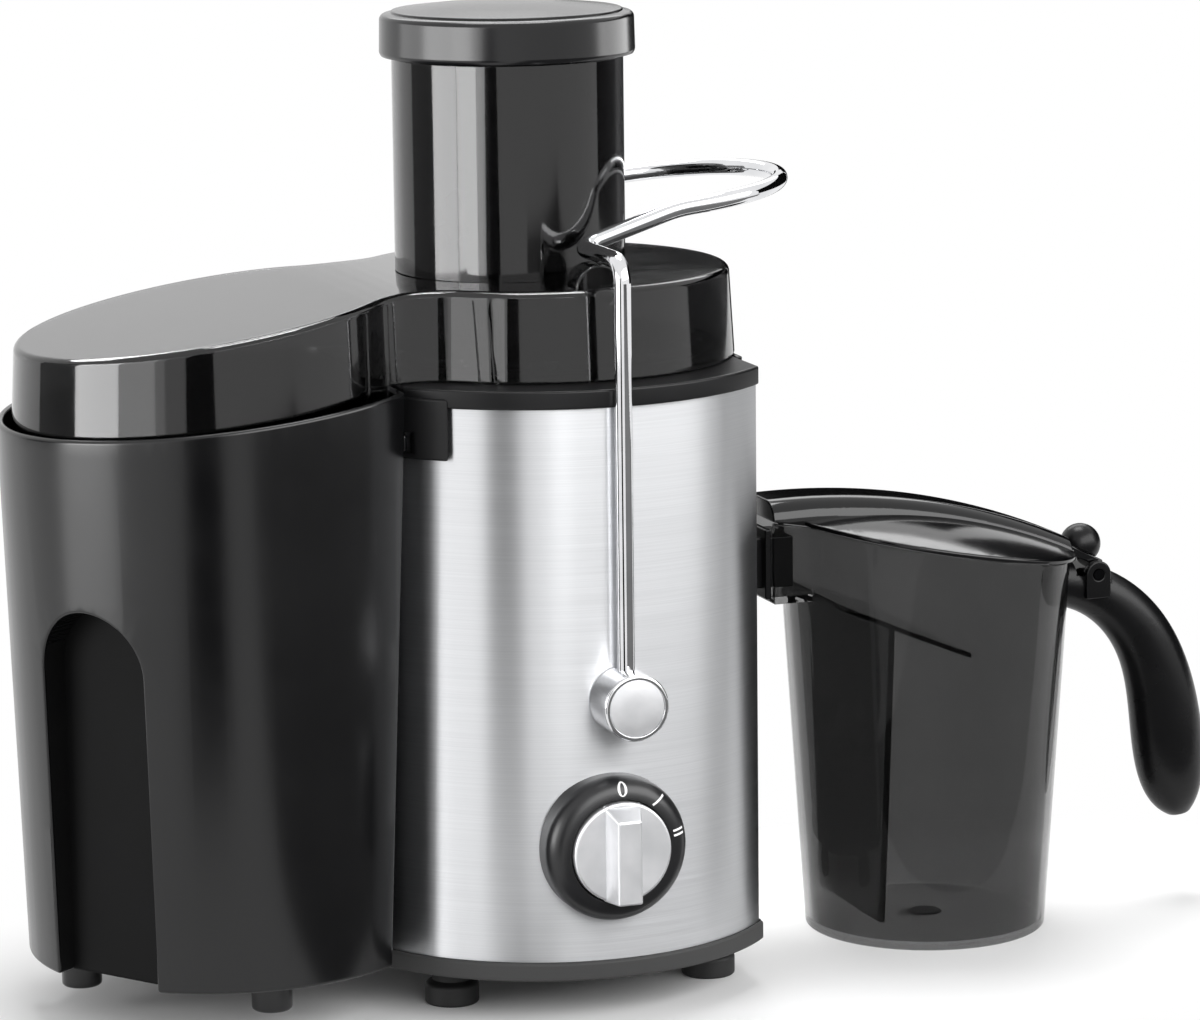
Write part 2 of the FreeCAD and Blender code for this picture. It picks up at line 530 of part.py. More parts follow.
def pusher():
    cap_z = CHUTE_TOP + " + fit_gap"
    node("pusher_tube", turned([
        ("0", PUSHER_FOOT), (PUSHER_R, PUSHER_FOOT), (PUSHER_R, cap_z), (f"{PUSHER_R} - pusher_wall", cap_z),
        (f"{PUSHER_R} - pusher_wall", f"{PUSHER_FOOT} + pusher_wall"), ("0", f"{PUSHER_FOOT} + pusher_wall"),
    ], x="-chute_off"))
    dome_top = f"({cap_z} + cap_h + cap_dome)"
    cap = common(rod("z", "cap_r", cap_z, dome_top, "-chute_off"),
                 ball("cap_dome_r", "-chute_off", "0", f"{dome_top} - cap_dome_r"))
    node("pusher_cap", rounded(cap, "cap_edge", rim_height))


def arch(half, top, deep):
    """An arch-headed block across the bin wall, on its side that faces -X before it is turned."""
    start = "-bin_r_top - grip_past"
    end = f"-bin_r_low + {deep}"
    return fuse(rod("x", half, start, end, "0", f"{top} - ({half})"),
                box(start, end, f"-({half})", half, "0", f"{top} - ({half})"))


def pulp_bin():
    rim_z = f"({BIN_RIM_Z} + bin_r_top * tan(bin_rim_tilt))"
    rim = above(f"-{BIN_X}", BIN_RIM_Z, "bin_rim_tilt")
    front_of_back = box("-span", "0", "-span / 2", "span / 2", "-span / 2", "span / 2")
    face = placed(front_of_back, "-left_face - bin_gap", "0", RING_Z, (0, 1, 0), "left_lean")
    inner_face = placed(front_of_back, "-left_face - bin_gap - bin_wall", "0", RING_Z, (0, 1, 0),
                        "left_lean")
    grips = []
    sleeves = []
    for turn in ("grip_turn", "-grip_turn"):
        grips.append(placed(arch("grip_half", GRIP_TOP, "grip_deep"), f"-{BIN_X}", turn=turn))
        sleeve = arch("grip_half + bin_wall", f"({GRIP_TOP} + bin_wall)", "grip_deep + bin_wall")
        sleeves.append(placed(sleeve, f"-{BIN_X}", turn=turn))
    outer = common(cone("bin_r_low", "bin_r_top", "bin_low", rim_z, f"-{BIN_X}"), face)
    hollow = common(cone("bin_r_low - bin_wall", "bin_r_top - bin_wall", "bin_low + bin_wall",
                         f"{rim_z} + past", f"-{BIN_X}"),
                    inner_face)
    shell = cut(outer, rim, *grips, cut(hollow, *sleeves))
    slot_top = f"({RING_Z} - tab_slot_drop)"
    lug_y = "(sqrt(jacket_r ^ 2 - left_face ^ 2) + lug_out)"
    lug = box("-left_face - bin_wall - bin_gap - past", "-left_face + tab_slot_deep - fit_gap - lug_short",
              f"-{lug_y} - lug_w", f"-{lug_y}", f"{slot_top} - tab_slot_h + fit_gap",
              f"{slot_top} - fit_gap")
    node("pulp_bin", fuse(shell, lug, mirrored(lug)))
    orbit = "(bin_r_low - peg_inset)"
    peg = rod("z", "peg_r", "bin_low - peg_h", "bin_low")
    spots = ((f"-{BIN_X}", orbit), (f"-{BIN_X}", f"-{orbit}"), (f"-{BIN_X} - {orbit}", "0"))
    node("bin_pegs", group(*[placed(peg, x, y) for x, y in spots]))


def motor():
    can_in = "(can_r - can_wall)"
    bolt_y = "(can_r - can_wall / 2)"
    plate_top = f"({PLATE_Z} + plate_t)"
    bolt_hole = both_sides(rod("z", "bolt_r + snug_gap", f"{LOW_PLATE_Z} - past", f"{plate_top} + past", "0",
                               bolt_y))
    cup = rod("z", CUP_R, f"{PLATE_Z} - bearing_h - past", PLATE_Z)
    pocket = rod("z", "bearing_r + snug_gap", f"{PLATE_Z} - bearing_h - past * 2", PLATE_Z)
    shaft_way = rod("z", "shaft_r + fit_gap", "0", f"{RING_TOP}")
    window = box("-can_r - past", "can_r + past", "-window_half", "window_half", f"{STACK_TOP} + window_rim",
                 f"{PLATE_Z} - window_rim")
    upper_ring = cut(rod("z", "can_r", STACK_TOP, PLATE_Z), rod("z", can_in, f"{STACK_TOP} - past", PLATE_Z),
                     window)
    node("upper_bracket", cut(fuse(upper_ring, rod("z", "can_r", PLATE_Z, plate_top), cup), pocket,
                              shaft_way, bolt_hole))
    low_cup = rod("z", CUP_R, f"{LOW_PLATE_Z} - bearing_h", LOW_PLATE_Z)
    low_pocket = rod("z", "bearing_r + snug_gap", f"{LOW_PLATE_Z} - bearing_h - past", LOW_PLATE_Z)
    low_window = box("-can_r - past", "can_r + past", "-window_half", "window_half",
                     f"{LOW_PLATE_TOP} + window_rim", f"{STACK_Z} - window_rim")
    low_ring = cut(rod("z", "can_r", LOW_PLATE_TOP, STACK_Z), rod("z", can_in, LOW_PLATE_TOP,
                                                                  f"{STACK_Z} + past"), low_window)
    node("lower_bracket", cut(fuse(low_ring, rod("z", "can_r", LOW_PLATE_Z, LOW_PLATE_TOP), low_cup),
                              low_pocket, shaft_way, bolt_hole))
    for label, z in (("upper_bearing", f"{PLATE_Z} - bearing_h"), ("lower_bearing",
                                                                   f"{LOW_PLATE_Z} - bearing_h")):
        node(label, cut(rod("z", "bearing_r", z, f"{z} + bearing_h"), rod("z", "shaft_r + run_gap",
                                                                          f"{z} - past",
                                                                          f"{z} + bearing_h + past")))
    poles = box(f"-{can_in} - past", f"{can_in} + past", "-pole_half", "pole_half", STACK_Z, STACK_TOP)
    yoke = cut(rod("z", "can_r", STACK_Z, STACK_TOP), rod("z", can_in, f"{STACK_Z} - past",
                                                          f"{STACK_TOP} + past"))
    node("stator", cut(fuse(yoke, poles), rod("z", "bore_r", f"{STACK_Z} - past", f"{STACK_TOP} + past"),
                       bolt_hole))
    coil_x = "(bore_r + coil_gap)"
    coil_end = f"({can_in} - coil_gap)"
    ring = cut(
        box(coil_x, coil_end, "-pole_half - coil_w", "pole_half + coil_w",
            f"{STACK_Z} - coil_over", f"{STACK_TOP} + coil_over"),
        box(f"{coil_x} - past", f"{coil_end} + past", "-pole_half - snug_gap", "pole_half + snug_gap",
            f"{STACK_Z} - snug_gap", f"{STACK_TOP} + snug_gap"),
    )
    coil = common(ring, rod("z", f"{can_in} - snug_gap", "0", "span"))
    node("field_windings", group(coil, mirrored(coil, (1, 0, 0))))
    bolt = fuse(rod("z", "bolt_r", LOW_PLATE_Z, plate_top, "0", bolt_y),
                rod("z", "bolt_head_r", f"{LOW_PLATE_Z} - bolt_head_h", LOW_PLATE_Z, "0", bolt_y))
    node("stator_bolts", both_sides(bolt))
    diagonal = "(damper_orbit / sqrt(2))"
    damper = rod("z", "damper_r", plate_top, DECK_Z)
    spots = [(sx + diagonal, sy + diagonal) for sx in ("", "-") for sy in ("", "-")]
    node("rubber_dampers", group(*[placed(damper, x, y) for x, y in spots]))
    brush_z = f"({LOW_PLATE_TOP} + holder_wall)"
    brush_y = "(commutator_r + fit_gap)"
    half = "brush_w / 2"
    brush = box(f"-{half}", half, brush_y, f"{brush_y} + brush_len", brush_z, f"{brush_z} + brush_w")
    node("carbon_brushes", both_sides(brush))
    holder = cut(
        box(f"-{half} - holder_wall", f"{half} + holder_wall", f"{brush_y} + holder_back",
            f"{brush_y} + brush_len + holder_wall",
            LOW_PLATE_TOP, f"{brush_z} + brush_w + holder_wall"),
        box(f"-{half} - snug_gap", f"{half} + snug_gap", brush_y, f"{brush_y} + brush_len + snug_gap",
            f"{brush_z} - snug_gap", f"{brush_z} + brush_w + snug_gap"),
    )
    node("brush_holders", both_sides(holder))
    seal_z = f"({DECK_TOP} + seal_proud)"
    node("shaft_seal", cut(rod("z", "seal_ring_r", f"{seal_z} - seal_ring_h", seal_z),
                           rod("z", "shaft_r + run_gap", f"{seal_z} - seal_ring_h - past",
                               f"{seal_z} + past")))


def rotor():
    stud_top = f"({NUT_TOP} - stud_short)"
    shoulder = f"({SIEVE_Z} - shaft_short)"
    node("drive_shaft", fuse(rod("z", "shaft_r", FAN_Z, shoulder), rod("z", "stud_r", shoulder, stud_top)))
    on_shaft = rod("z", "shaft_r + snug_gap", "0", RING_TOP)
    core_r = "(bore_r - air_gap)"
    node("armature", cut(fuse(
        rod("z", core_r, f"{STACK_Z} + past", f"{STACK_TOP} - past"),
        rod("z", f"{core_r} - core_step", f"{STACK_Z} - coil_over + core_in",
            f"{STACK_TOP} + coil_over - core_in"),
    ), on_shaft))
    com_z = f"({LOW_PLATE_TOP} + slide_gap)"
    node("commutator", cut(rod("z", "commutator_r", com_z, f"{com_z} + commutator_h"), on_shaft))
    blade = box("fan_hub_r - past", "fan_r", "-fan_blade_t / 2", "fan_blade_t / 2", FAN_Z,
                f"{FAN_Z} + fan_h")
    count = int(number("fan_blades"))
    blades = [placed(blade, turn=f"{i} * 360 / fan_blades") for i in range(count)]
    node("cooling_fan", cut(fuse(rod("z", "fan_r", FAN_Z, f"{FAN_Z} + fan_disc"),
                                 rod("z", "fan_hub_r", FAN_Z, f"{FAN_Z} + fan_h"), *blades), on_shaft))
    lobe = box("-coupling_r", "coupling_r", "-lobe_half", "lobe_half", COUPLING_Z, SIEVE_Z)
    bars = int(number("lobe_bars"))
    lobes = [placed(lobe, turn=f"{i} * 180 / lobe_bars") for i in range(bars)]
    star = common(fuse(rod("z", "coupling_r - lobe_deep", COUPLING_Z, SIEVE_Z), *lobes),
                  rod("z", "coupling_r", COUPLING_Z, SIEVE_Z))
    shaft_top = rod("z", "stud_r + snug_gap", f"{shoulder} - past", RING_TOP)
    shaft_hole = rod("z", "shaft_r + snug_gap", "0", shoulder)
    node("drive_coupling", cut(star, shaft_top, shaft_hole))
    hub_in = "(coupling_r + fit_gap)"
    sieve_top = f"({SIEVE_Z} + sieve_h)"
    rim_z = f"({sieve_top} - sieve_rim_h)"
    hub_out = f"({hub_in} + hub_wall)"
    hub_foot = f"({COUPLING_Z} + hub_lift)"
    node("sieve_basket", turned([
        (hub_in, hub_foot), (hub_out, hub_foot), (hub_out, SIEVE_Z), ("sieve_floor_r", SIEVE_Z),
        ("sieve_top_r", rim_z), ("sieve_top_r + sieve_rim", rim_z), ("sieve_top_r + sieve_rim", sieve_top),
        ("sieve_top_r - sieve_t", sieve_top), ("sieve_floor_r - sieve_t", DISC_Z),
        ("stud_r + snug_gap", DISC_Z),
        ("stud_r + snug_gap", SIEVE_Z), (hub_in, SIEVE_Z),
    ]))
    tooth = doc.addObject("Part::Wedge", "Tooth")
    bind(tooth, Xmin="0", Xmax="tooth_len", Ymin="0", Ymax="tooth_w", Zmin="0", Zmax="tooth_h",
         X2min="tooth_len * tooth_lean", X2max="tooth_len", Z2min="0", Z2max="tooth_tip")
    per_row = int(number("tooth_per_row"))
    rows = int(number("tooth_rows"))
    step = "((disc_r - nut_r - tooth_len) / tooth_per_row)"
    line = [placed(tooth, f"nut_r + tooth_start + {j} * {step}", "0", f"{DISC_TOP} - tooth_sink", (1, 0, 0),
                   "90") for j in range(per_row)]
    teeth = [placed(line, turn=f"{i} * 360 / tooth_rows") for i in range(rows)]
    plate = cut(rod("z", "disc_r", DISC_Z, DISC_TOP), rod("z", "stud_r + snug_gap", f"{DISC_Z} - past",
                                                          f"{DISC_TOP} + past"))
    node("grater_disc", fuse(plate, *teeth))
    node("clamp_nut", cut(
        turned([("0", DISC_TOP), ("nut_r", DISC_TOP), ("nut_r", f"{DISC_TOP} + nut_h / 2"),
                ("nut_r - nut_slope", NUT_TOP), ("0", NUT_TOP)]),
        rod("z", "stud_r + snug_gap", f"{DISC_TOP} - past", f"{NUT_TOP} - past"),
    ))


def bent_rod(corners, bends, radius):
    """A round bar along straight runs that are joined by tangent arcs."""
    edges = []
    start = corners[0]
    for before, corner, after, bend in zip(corners, corners[1:], corners[2:], bends):
        back = (before - corner).normalize()
        ahead = (after - corner).normalize()
        half_turn = (math.pi - back.getAngle(ahead)) / 2
        reach = bend * math.tan(half_turn)
        first = corner + back * reach
        last = corner + ahead * reach
        middle_way = (back + ahead).normalize()
        middle = corner + middle_way * (bend / math.cos(half_turn) - bend)
        if start.distanceToPoint(first) > 0.01:
            edges.append(Part.LineSegment(start, first).toShape())
        edges.append(Part.Arc(first, middle, last).toShape())
        start = last
    edges.append(Part.LineSegment(start, corners[-1]).toShape())
    path = Part.Wire(edges)
    section = Part.Wire(Part.makeCircle(radius, corners[0], corners[1] - corners[0]))
    return path.makePipeShell([section], True, False)


def bail():
    arm_y = number(ARM_Y)
    half = number("bail_half")
    base_z = number(PIVOT_Z + " + bar_seat")
    bar_z = number(BAIL_Z)
    knee_z = bar_z + number("bail_knee_rise")
    tip_z = knee_z + number("bail_tip_rise")
    knee_x = number("bail_knee")
    reach = number("bail_reach")
    loop_bend = min(half, reach - knee_x - number("knee_spare")) - number("fit_gap")
    one_side = [(0, arm_y, base_z), (0, arm_y, bar_z), (0, half, bar_z), (knee_x, half, knee_z), (reach,
                                                                                                  half,
                                                                                                  tip_z)]
    corners = [FreeCAD.Vector(x, -y, z) for x, y, z in one_side]
    corners += [FreeCAD.Vector(x, y, z) for x, y, z in reversed(one_side)]
    turns = [number("bail_bend"), number("bail_bend"), number("knee_bend"), loop_bend]
    bar = doc.addObject("Part::Feature", "Bar")
    bar.Shape = bent_rod(corners, turns + turns[::-1], number("bar_r"))
    node("bail_bar", bar)
    spigot_end = f"({HUB_BACK} - spigot_len)"
    hub = turned([
        ("0", HUB_FACE), ("hub_r - hub_edge", HUB_FACE), ("hub_r", f"{HUB_FACE} - hub_edge"), ("hub_r",
                                                                                               HUB_BACK),
        ("spigot_r", HUB_BACK), ("spigot_r", spigot_end), ("0", spigot_end),
    ], axis="y", z=PIVOT_Z)
    drilled = cut(hub, rod("z", "bar_r + snug_gap", f"{PIVOT_Z} + bar_seat", f"{PIVOT_Z} + hub_r + past", "0",
                           f"-{ARM_Y}"),
                  rod("y", "pin_screw_r + snug_gap", f"-{HUB_BACK}", f"-{spigot_end} + past", "0", PIVOT_Z))
    node("bail_hub_front", drilled)
    node("bail_hub_rear", mirrored(drilled))
    screw = fuse(rod("y", "pin_head_r", f"-{spigot_end}", f"-{spigot_end} + pin_head_h", "0", PIVOT_Z),
                 rod("y", "pin_screw_r", f"-{HUB_BACK} + past", f"-{spigot_end}", "0", PIVOT_Z))
    node("pivot_screws", both_sides(screw))
    bush = cut(rod("y", "spigot_r + bush_wall", "-jacket_r", f"-{spigot_end} - fit_gap", "0", PIVOT_Z),
               rod("y", "spigot_r + run_gap", "-jacket_r - past", "0", "0", PIVOT_Z))
    node("pivot_bushes", both_sides(bush))


def dial():
    floor = "(jacket_r + bezel_floor)"
    face = "(jacket_r + bezel_out)"
    root = "(jacket_r - bezel_root)"
    well_r = "(knob_r + slide_gap)"
    ring = turned([
        ("spindle_r + fit_gap", root), ("bezel_r", root), ("bezel_r", face), (well_r, face), (well_r, floor),
        ("spindle_r + fit_gap", floor),
    ], axis="y", x="-dial_left", z=DIAL_Z)
    soft_ring = rounded(ring, "bezel_edge", lambda edge: (-round(edge.CenterOfMass.y, 3), edge.Length))
    node("dial_bezel", cut(soft_ring, rod("z", "jacket_r + snug_gap", TRAY_TOP, RING_Z)))
    knob_front = "(jacket_r + knob_face)"
    knob = turned([
        ("0", f"{floor} + fit_gap"), ("knob_r", f"{floor} + fit_gap"), ("knob_r",
                                                                        f"{knob_front} - knob_edge"),
        ("knob_r - knob_edge", knob_front), ("0", knob_front),
    ], axis="y", x="-dial_left", z=DIAL_Z)
    bar = common(rod("y", "knob_r - knob_edge", f"-{knob_front} - grip_out", f"-{knob_front} + past",
                     "-dial_left", DIAL_Z),
                 box("-dial_left - grip_w / 2", "-dial_left + grip_w / 2", "-span / 2", "0", "0", "span"))
    socket = rod("y", "spindle_r + snug_gap", f"-{knob_front} + socket_web", f"-{floor}", "-dial_left",
                 DIAL_Z)
    node("dial_knob", cut(fuse(knob, bar), socket))
    inner_end = f"({PAD_FACE} - spindle_in)"
    node("dial_spindle", rod("y", "spindle_r", f"-{knob_front} + socket_web", f"-{inner_end}", "-dial_left",
                             DIAL_Z))
    node("speed_switch", cut(
        box("-dial_left - switch_half", "-dial_left + switch_half", f"-{PAD_FACE}",
            f"-{PAD_FACE} + switch_deep",
            f"{DIAL_Z} - switch_h / 2", f"{DIAL_Z} + switch_h / 2"),
        rod("y", "spindle_r + run_gap", f"-{PAD_FACE} - past", f"-{inner_end} + fit_gap", "-dial_left",
            DIAL_Z),
    ))
    near_wall = "(jacket_r - interlock_in)"
    node("interlock_switch", box("interlock_x", "interlock_x + interlock_len", f"{near_wall} - interlock_w",
                                 near_wall,
                                 f"{DECK_Z} - interlock_h", DECK_Z))
    lip_end = "-jacket_r - inlet_flange"
    lip_foot = "-jacket_r - inlet_stand"
    inlet = turned([
        ("inlet_bore", lip_end), ("inlet_r + inlet_lip", lip_end), ("inlet_r + inlet_lip", lip_foot),
        ("inlet_r", lip_foot), ("inlet_r", "-jacket_r + inlet_len"), ("inlet_bore", "-jacket_r + inlet_len"),
    ], axis="y", z=INLET_Z)
    node("cord_bushing", inlet)


def jug():
    rim = above(JUG_X, JUG_RIM_Z, "-jug_rim_tilt")
    channel_half = "(spout_w / 2 + trough_side)"
    trough_floor = f"({SPOUT_Z} - trough_gap)"
    high = f"({JUG_RIM_Z} + trough_over)"
    outer = fuse(
        cone("jug_r_low", JUG_R_TOP, "0", JUG_TOP, JUG_X),
        box(TROUGH_X, f"{JUG_X} - jug_r_low", f"-{channel_half} - trough_wall",
            f"{channel_half} + trough_wall",
            f"{trough_floor} - trough_wall", high),
    )
    hollow = fuse(
        cut(cone("jug_r_low - jug_wall", f"{JUG_R_TOP} - jug_wall", "0", JUG_TOP, JUG_X),
            rod("z", "span", "-past", "jug_floor", JUG_X)),
        box(f"{TROUGH_X} - past", f"{JUG_X} - jug_r_low + jug_wall + past * 2",
            f"-{channel_half}", channel_half,
            trough_floor, f"{high} + past"),
    )
    node("jug", cut(outer, rim, hollow))
    clear = "jug_wall - separator_gap"
    inside = cone(f"jug_r_low - {clear}", f"{JUG_R_TOP} - {clear}", "0", JUG_TOP, JUG_X)
    half = ("-span / 2", "span / 2")
    wall_x = f"({JUG_X} - wall_in)"
    wall = box(f"{wall_x} - shelf_t", wall_x, *half, "jug_floor + wall_lift", WALL_TOP)
    shelf = placed(box("-shelf_left", "shelf_right", *half, "-shelf_t", "0"), wall_x, "0",
                   f"{WALL_TOP} + shelf_t / 2", (0, 1, 0), "shelf_tilt")
    node("foam_separator", common(fuse(wall, shelf), inside))


# Down the handle: shares of its reach and length, its slope in degrees, and its share of full thickness
HANDLE_STATIONS = (
    (0, 0, 8, 0.64), (0.45, 0.05, 22, 0.7), (0.72, 0.18, 50, 0.8), (0.98, 0.61, 88, 1), (1.04, 0.9, 84,
                                                                                         0.78),
    (1.09, 1, 80, 0.28),
)


def jug_handle():
    """A club-shaped open grip through ellipses on its bow, slotted and eared for the lid's hinge."""
    root_x = f"({JUG_X} + {JUG_RIM_R} - handle_inside)"
    reach = f"({JUG_X} + handle_out - {root_x})"
    sections = []
    for out, down, slope, share in HANDLE_STATIONS:
        ring = doc.addObject("Part::Ellipse", "Section")
        thick = f"handle_thick * {share}"
        bind(ring, MajorRadius=thick, MinorRadius=f"{thick} * handle_flat_ratio")
        ring.Placement = FreeCAD.Placement(FreeCAD.Vector(), FreeCAD.Rotation(FreeCAD.Vector(0, 1, 0),
                                                                              90 + slope))
        seat(ring, f"{root_x} + {reach} * {out}", "0", f"{HANDLE_TOP} - handle_len * {down}")
        sections.append(ring)
    grip = doc.addObject("Part::Loft", "Grip")
    grip.Sections = sections
    grip.Solid = True
    ears = []
    for side in ("barrel_half + fit_gap", "-barrel_half - fit_gap - ear_t"):
        across = (side, f"{side} + ear_t")
        ears.append(rod("y", "ear_r", *across, HINGE_X, HINGE_Z))
        ears.append(box(f"{HINGE_X} - ear_r", f"{HINGE_X} + ear_r", *across, f"{HINGE_Z} - ear_drop",
                        HINGE_Z))
    slot_y = ("-barrel_half - fit_gap", "barrel_half + fit_gap")
    slot_r = "(barrel_r + ear_gap)"
    slot = fuse(rod("y", slot_r, *slot_y, HINGE_X, HINGE_Z),
                box(f"{HINGE_X} - {slot_r}", f"{HINGE_X} + {slot_r}", *slot_y, HINGE_Z, JUG_RIM_Z))
    pin_hole = rod("y", "pin_r + snug_gap", "-span / 2", "span / 2", HINGE_X, HINGE_Z)
    wall = cone("jug_r_low + snug_gap", f"{JUG_R_TOP} + snug_gap", "0", JUG_TOP, JUG_X)
    node("jug_handle", cut(fuse(grip, *ears), wall, slot, pin_hole))
    pin_half = "(barrel_half + fit_gap + ear_t)"
    node("hinge_pin", rod("y", "pin_r", f"-{pin_half}", pin_half, HINGE_X, HINGE_Z))


def jug_lid():
    """A shallow dome on the jug's rim, with a ridge over the juice's way from the spout to the hinge."""
    half = "(spout_w / 2 + trough_side + trough_wall)"
    rim_half = ("-span / 2", "span / 2")

    def dome(inset):
        deep = "(dome_rise - dome_r)"
        bowl_up = ball(f"dome_r - ({inset})", f"{JUG_X} + {deep} * sin(jug_rim_tilt)", "0",
                       f"{JUG_RIM_Z} + {deep} * cos(jug_rim_tilt)")
        return common(rod("z", f"{JUG_RIM_R} + jug_lid_over - ({inset})", "0", "span / 2", JUG_X), bowl_up)

    def ridge(inset):
        plan = box(f"{TROUGH_X} + ({inset})", f"{JUG_X} + {JUG_RIM_R} - ({inset})", f"-({half} - ({inset}))",
                   f"{half} - ({inset})", f"{JUG_RIM_Z} - ridge_low", "span / 2")
        back = rod("y", f"ridge_r - ({inset})", *rim_half, "right_face + ridge_out",
                   f"{JUG_RIM_Z} + ridge_rise - ridge_r")
        return rounded(common(plan, back), f"ridge_round - ({inset})",
                       lambda edge: height(edge) + edge.Length, 2)

    under = placed(box(*rim_half, *rim_half, "-span", "0"), JUG_X, "0", f"{JUG_RIM_Z} + jug_lid_gap", (0, 1,
                                                                                                       0),
                   "jug_rim_tilt")
    tongue_at = (HINGE_X, "0", f"{HINGE_Z} + tongue_rise", (0, 1, 0), "tongue_tilt")
    tongue = placed(box("-tongue_len", "tongue_past", "-barrel_half", "barrel_half", "-tongue_t / 2",
                        "tongue_t / 2"),
                    *tongue_at)
    barrel = rod("y", "barrel_r", "-barrel_half", "barrel_half", HINGE_X, HINGE_Z)
    shell = cut(fuse(dome("0"), ridge("0")), dome("jug_lid_wall"), ridge("jug_lid_wall"), under)
    node("jug_lid", cut(fuse(shell, tongue, barrel), rod("y", "pin_r + run_gap", *rim_half, HINGE_X,
                                                         HINGE_Z)))
    seat_face = placed(box(*rim_half, *rim_half, "-span", "tongue_t / 2 + snug_gap"), *tongue_at)
    knob = ball("ball_r", f"{HINGE_X} - ball_back", "0", f"{HINGE_Z} + ball_rise")
    node("thumb_ball", cut(knob, seat_face))


base_and_feet()
housing()
jacket()
top_ring()
bowl()
lid()
pusher()
pulp_bin()
motor()
rotor()
bail()
dial()
jug()
jug_handle()
jug_lid()
doc.recompute()

faults = [item.Name for item in doc.Objects if "Invalid" in item.State or "Error" in item.State]
for label, item in NODES.items():
    shape = item.Shape
    if shape.isNull() or not shape.isValid() or not shape.Solids:
        faults.append(label)
if faults:
    raise RuntimeError("these did not build: " + ", ".join(faults))

os.makedirs("parts", exist_ok=True)
for label, item in NODES.items():
    solids = item.Shape.Solids
    shape = solids[0] if len(solids) == 1 else item.Shape
    shape.exportStep("parts/%s.step" % label)
    print("%-18s %2d solids, %9.0f mm3" % (label, len(solids), shape.Volume))
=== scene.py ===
"""Looks of a centrifugal juicer: steel-clad base, smoked lid with chute, pulp bin, bail, dial and jug."""

import json
import logging
import math
from abc import ABC, abstractmethod
from dataclasses import dataclass
from enum import Enum
from typing import Any, Iterable, NamedTuple, Sequence

import bmesh
import bpy
from bmesh.types import BMEdge, BMesh, BMVert
from mathutils import Matrix, Vector
from mathutils.bvhtree import BVHTree

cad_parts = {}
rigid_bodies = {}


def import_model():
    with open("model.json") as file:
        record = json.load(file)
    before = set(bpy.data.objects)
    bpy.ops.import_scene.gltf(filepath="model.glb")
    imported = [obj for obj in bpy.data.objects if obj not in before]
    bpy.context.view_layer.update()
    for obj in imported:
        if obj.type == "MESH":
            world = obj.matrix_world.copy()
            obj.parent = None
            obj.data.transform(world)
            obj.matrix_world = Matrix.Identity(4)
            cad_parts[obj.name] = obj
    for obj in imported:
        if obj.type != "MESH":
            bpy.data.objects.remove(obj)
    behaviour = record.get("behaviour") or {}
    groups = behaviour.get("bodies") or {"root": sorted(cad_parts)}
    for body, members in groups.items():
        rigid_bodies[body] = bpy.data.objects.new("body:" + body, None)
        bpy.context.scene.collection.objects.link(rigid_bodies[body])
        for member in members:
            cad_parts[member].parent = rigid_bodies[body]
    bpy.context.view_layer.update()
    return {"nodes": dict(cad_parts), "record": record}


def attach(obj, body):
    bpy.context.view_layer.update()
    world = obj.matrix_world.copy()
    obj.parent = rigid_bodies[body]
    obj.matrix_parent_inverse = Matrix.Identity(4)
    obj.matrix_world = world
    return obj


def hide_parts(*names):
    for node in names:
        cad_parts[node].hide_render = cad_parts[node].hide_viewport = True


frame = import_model()

log = logging.getLogger("juicer")

MM = 0.001
QUARTER_TURN = math.pi / 2.0
ORIGIN = (0.0, 0.0, 0.0)
ALONG_X = (1.0, 0.0, 0.0)
UP = (0.0, 0.0, 1.0)
WHITE = "ffffff"
JOINTS = {joint["name"]: joint for joint in frame["record"]["behaviour"]["joints"]}
DRIVE_X = JOINTS["rotor_spin"]["pos_m"][0]
# Pieces are drawn in millimetres about the drive axis; this puts them into the frame
TO_FRAME = Matrix.Translation((DRIVE_X, 0.0, 0.0)) @ Matrix.Scale(MM, 4)

SHEET_MAP = "sheet"  # map of the brushed sheets
NOISE_ROUGHNESS = 0.6
NOISE_SPAN = (0.3, 0.7)  # the stretch of a noise that is spread from 0 to 1
BUMP_STRENGTH = 0.4
MIX_A, MIX_B, MIX_RESULT = 6, 7, 2  # places of a Mix node's colour sockets

SHARP = 32.0  # degrees between faces, above which an edge is a corner and not part of a curve
FLAT = 0.2  # degrees between faces, below which they are one
TURN_STEPS = 160  # steps round a turned piece
ROUND_STEPS = 6  # faces across a rounding that is drawn
EASE_STEPS = 3  # faces across a rounding that only takes an edge off
# Corners that lie closer than this are one, mm
MERGE_TURNED = 0.001
MERGE_PACKED = 0.005
MERGE_CARVED = 0.01
MERGE_DRAWN = 0.05


class Body(str, Enum):
    """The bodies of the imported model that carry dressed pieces."""

    BASE = "body"
    BAIL = "bail"
    DIAL = "dial"
    PUSHER = "pusher"
    JUG = "jug"
    JUG_LID = "jug_lid"


def linear(code: str) -> tuple[float, float, float, float]:
    """Turn an sRGB hex colour into linear light.

    Args:
        code: six hex digits.

    Returns:
        Red, green and blue in linear light, and a full alpha.
    """
    channels = [int(code[i:i + 2], 16) / 255.0 for i in (0, 2, 4)]
    light = [c / 12.92 if c <= 0.04045 else ((c + 0.055) / 1.055) ** 2.4 for c in channels]
    return (light[0], light[1], light[2], 1.0)


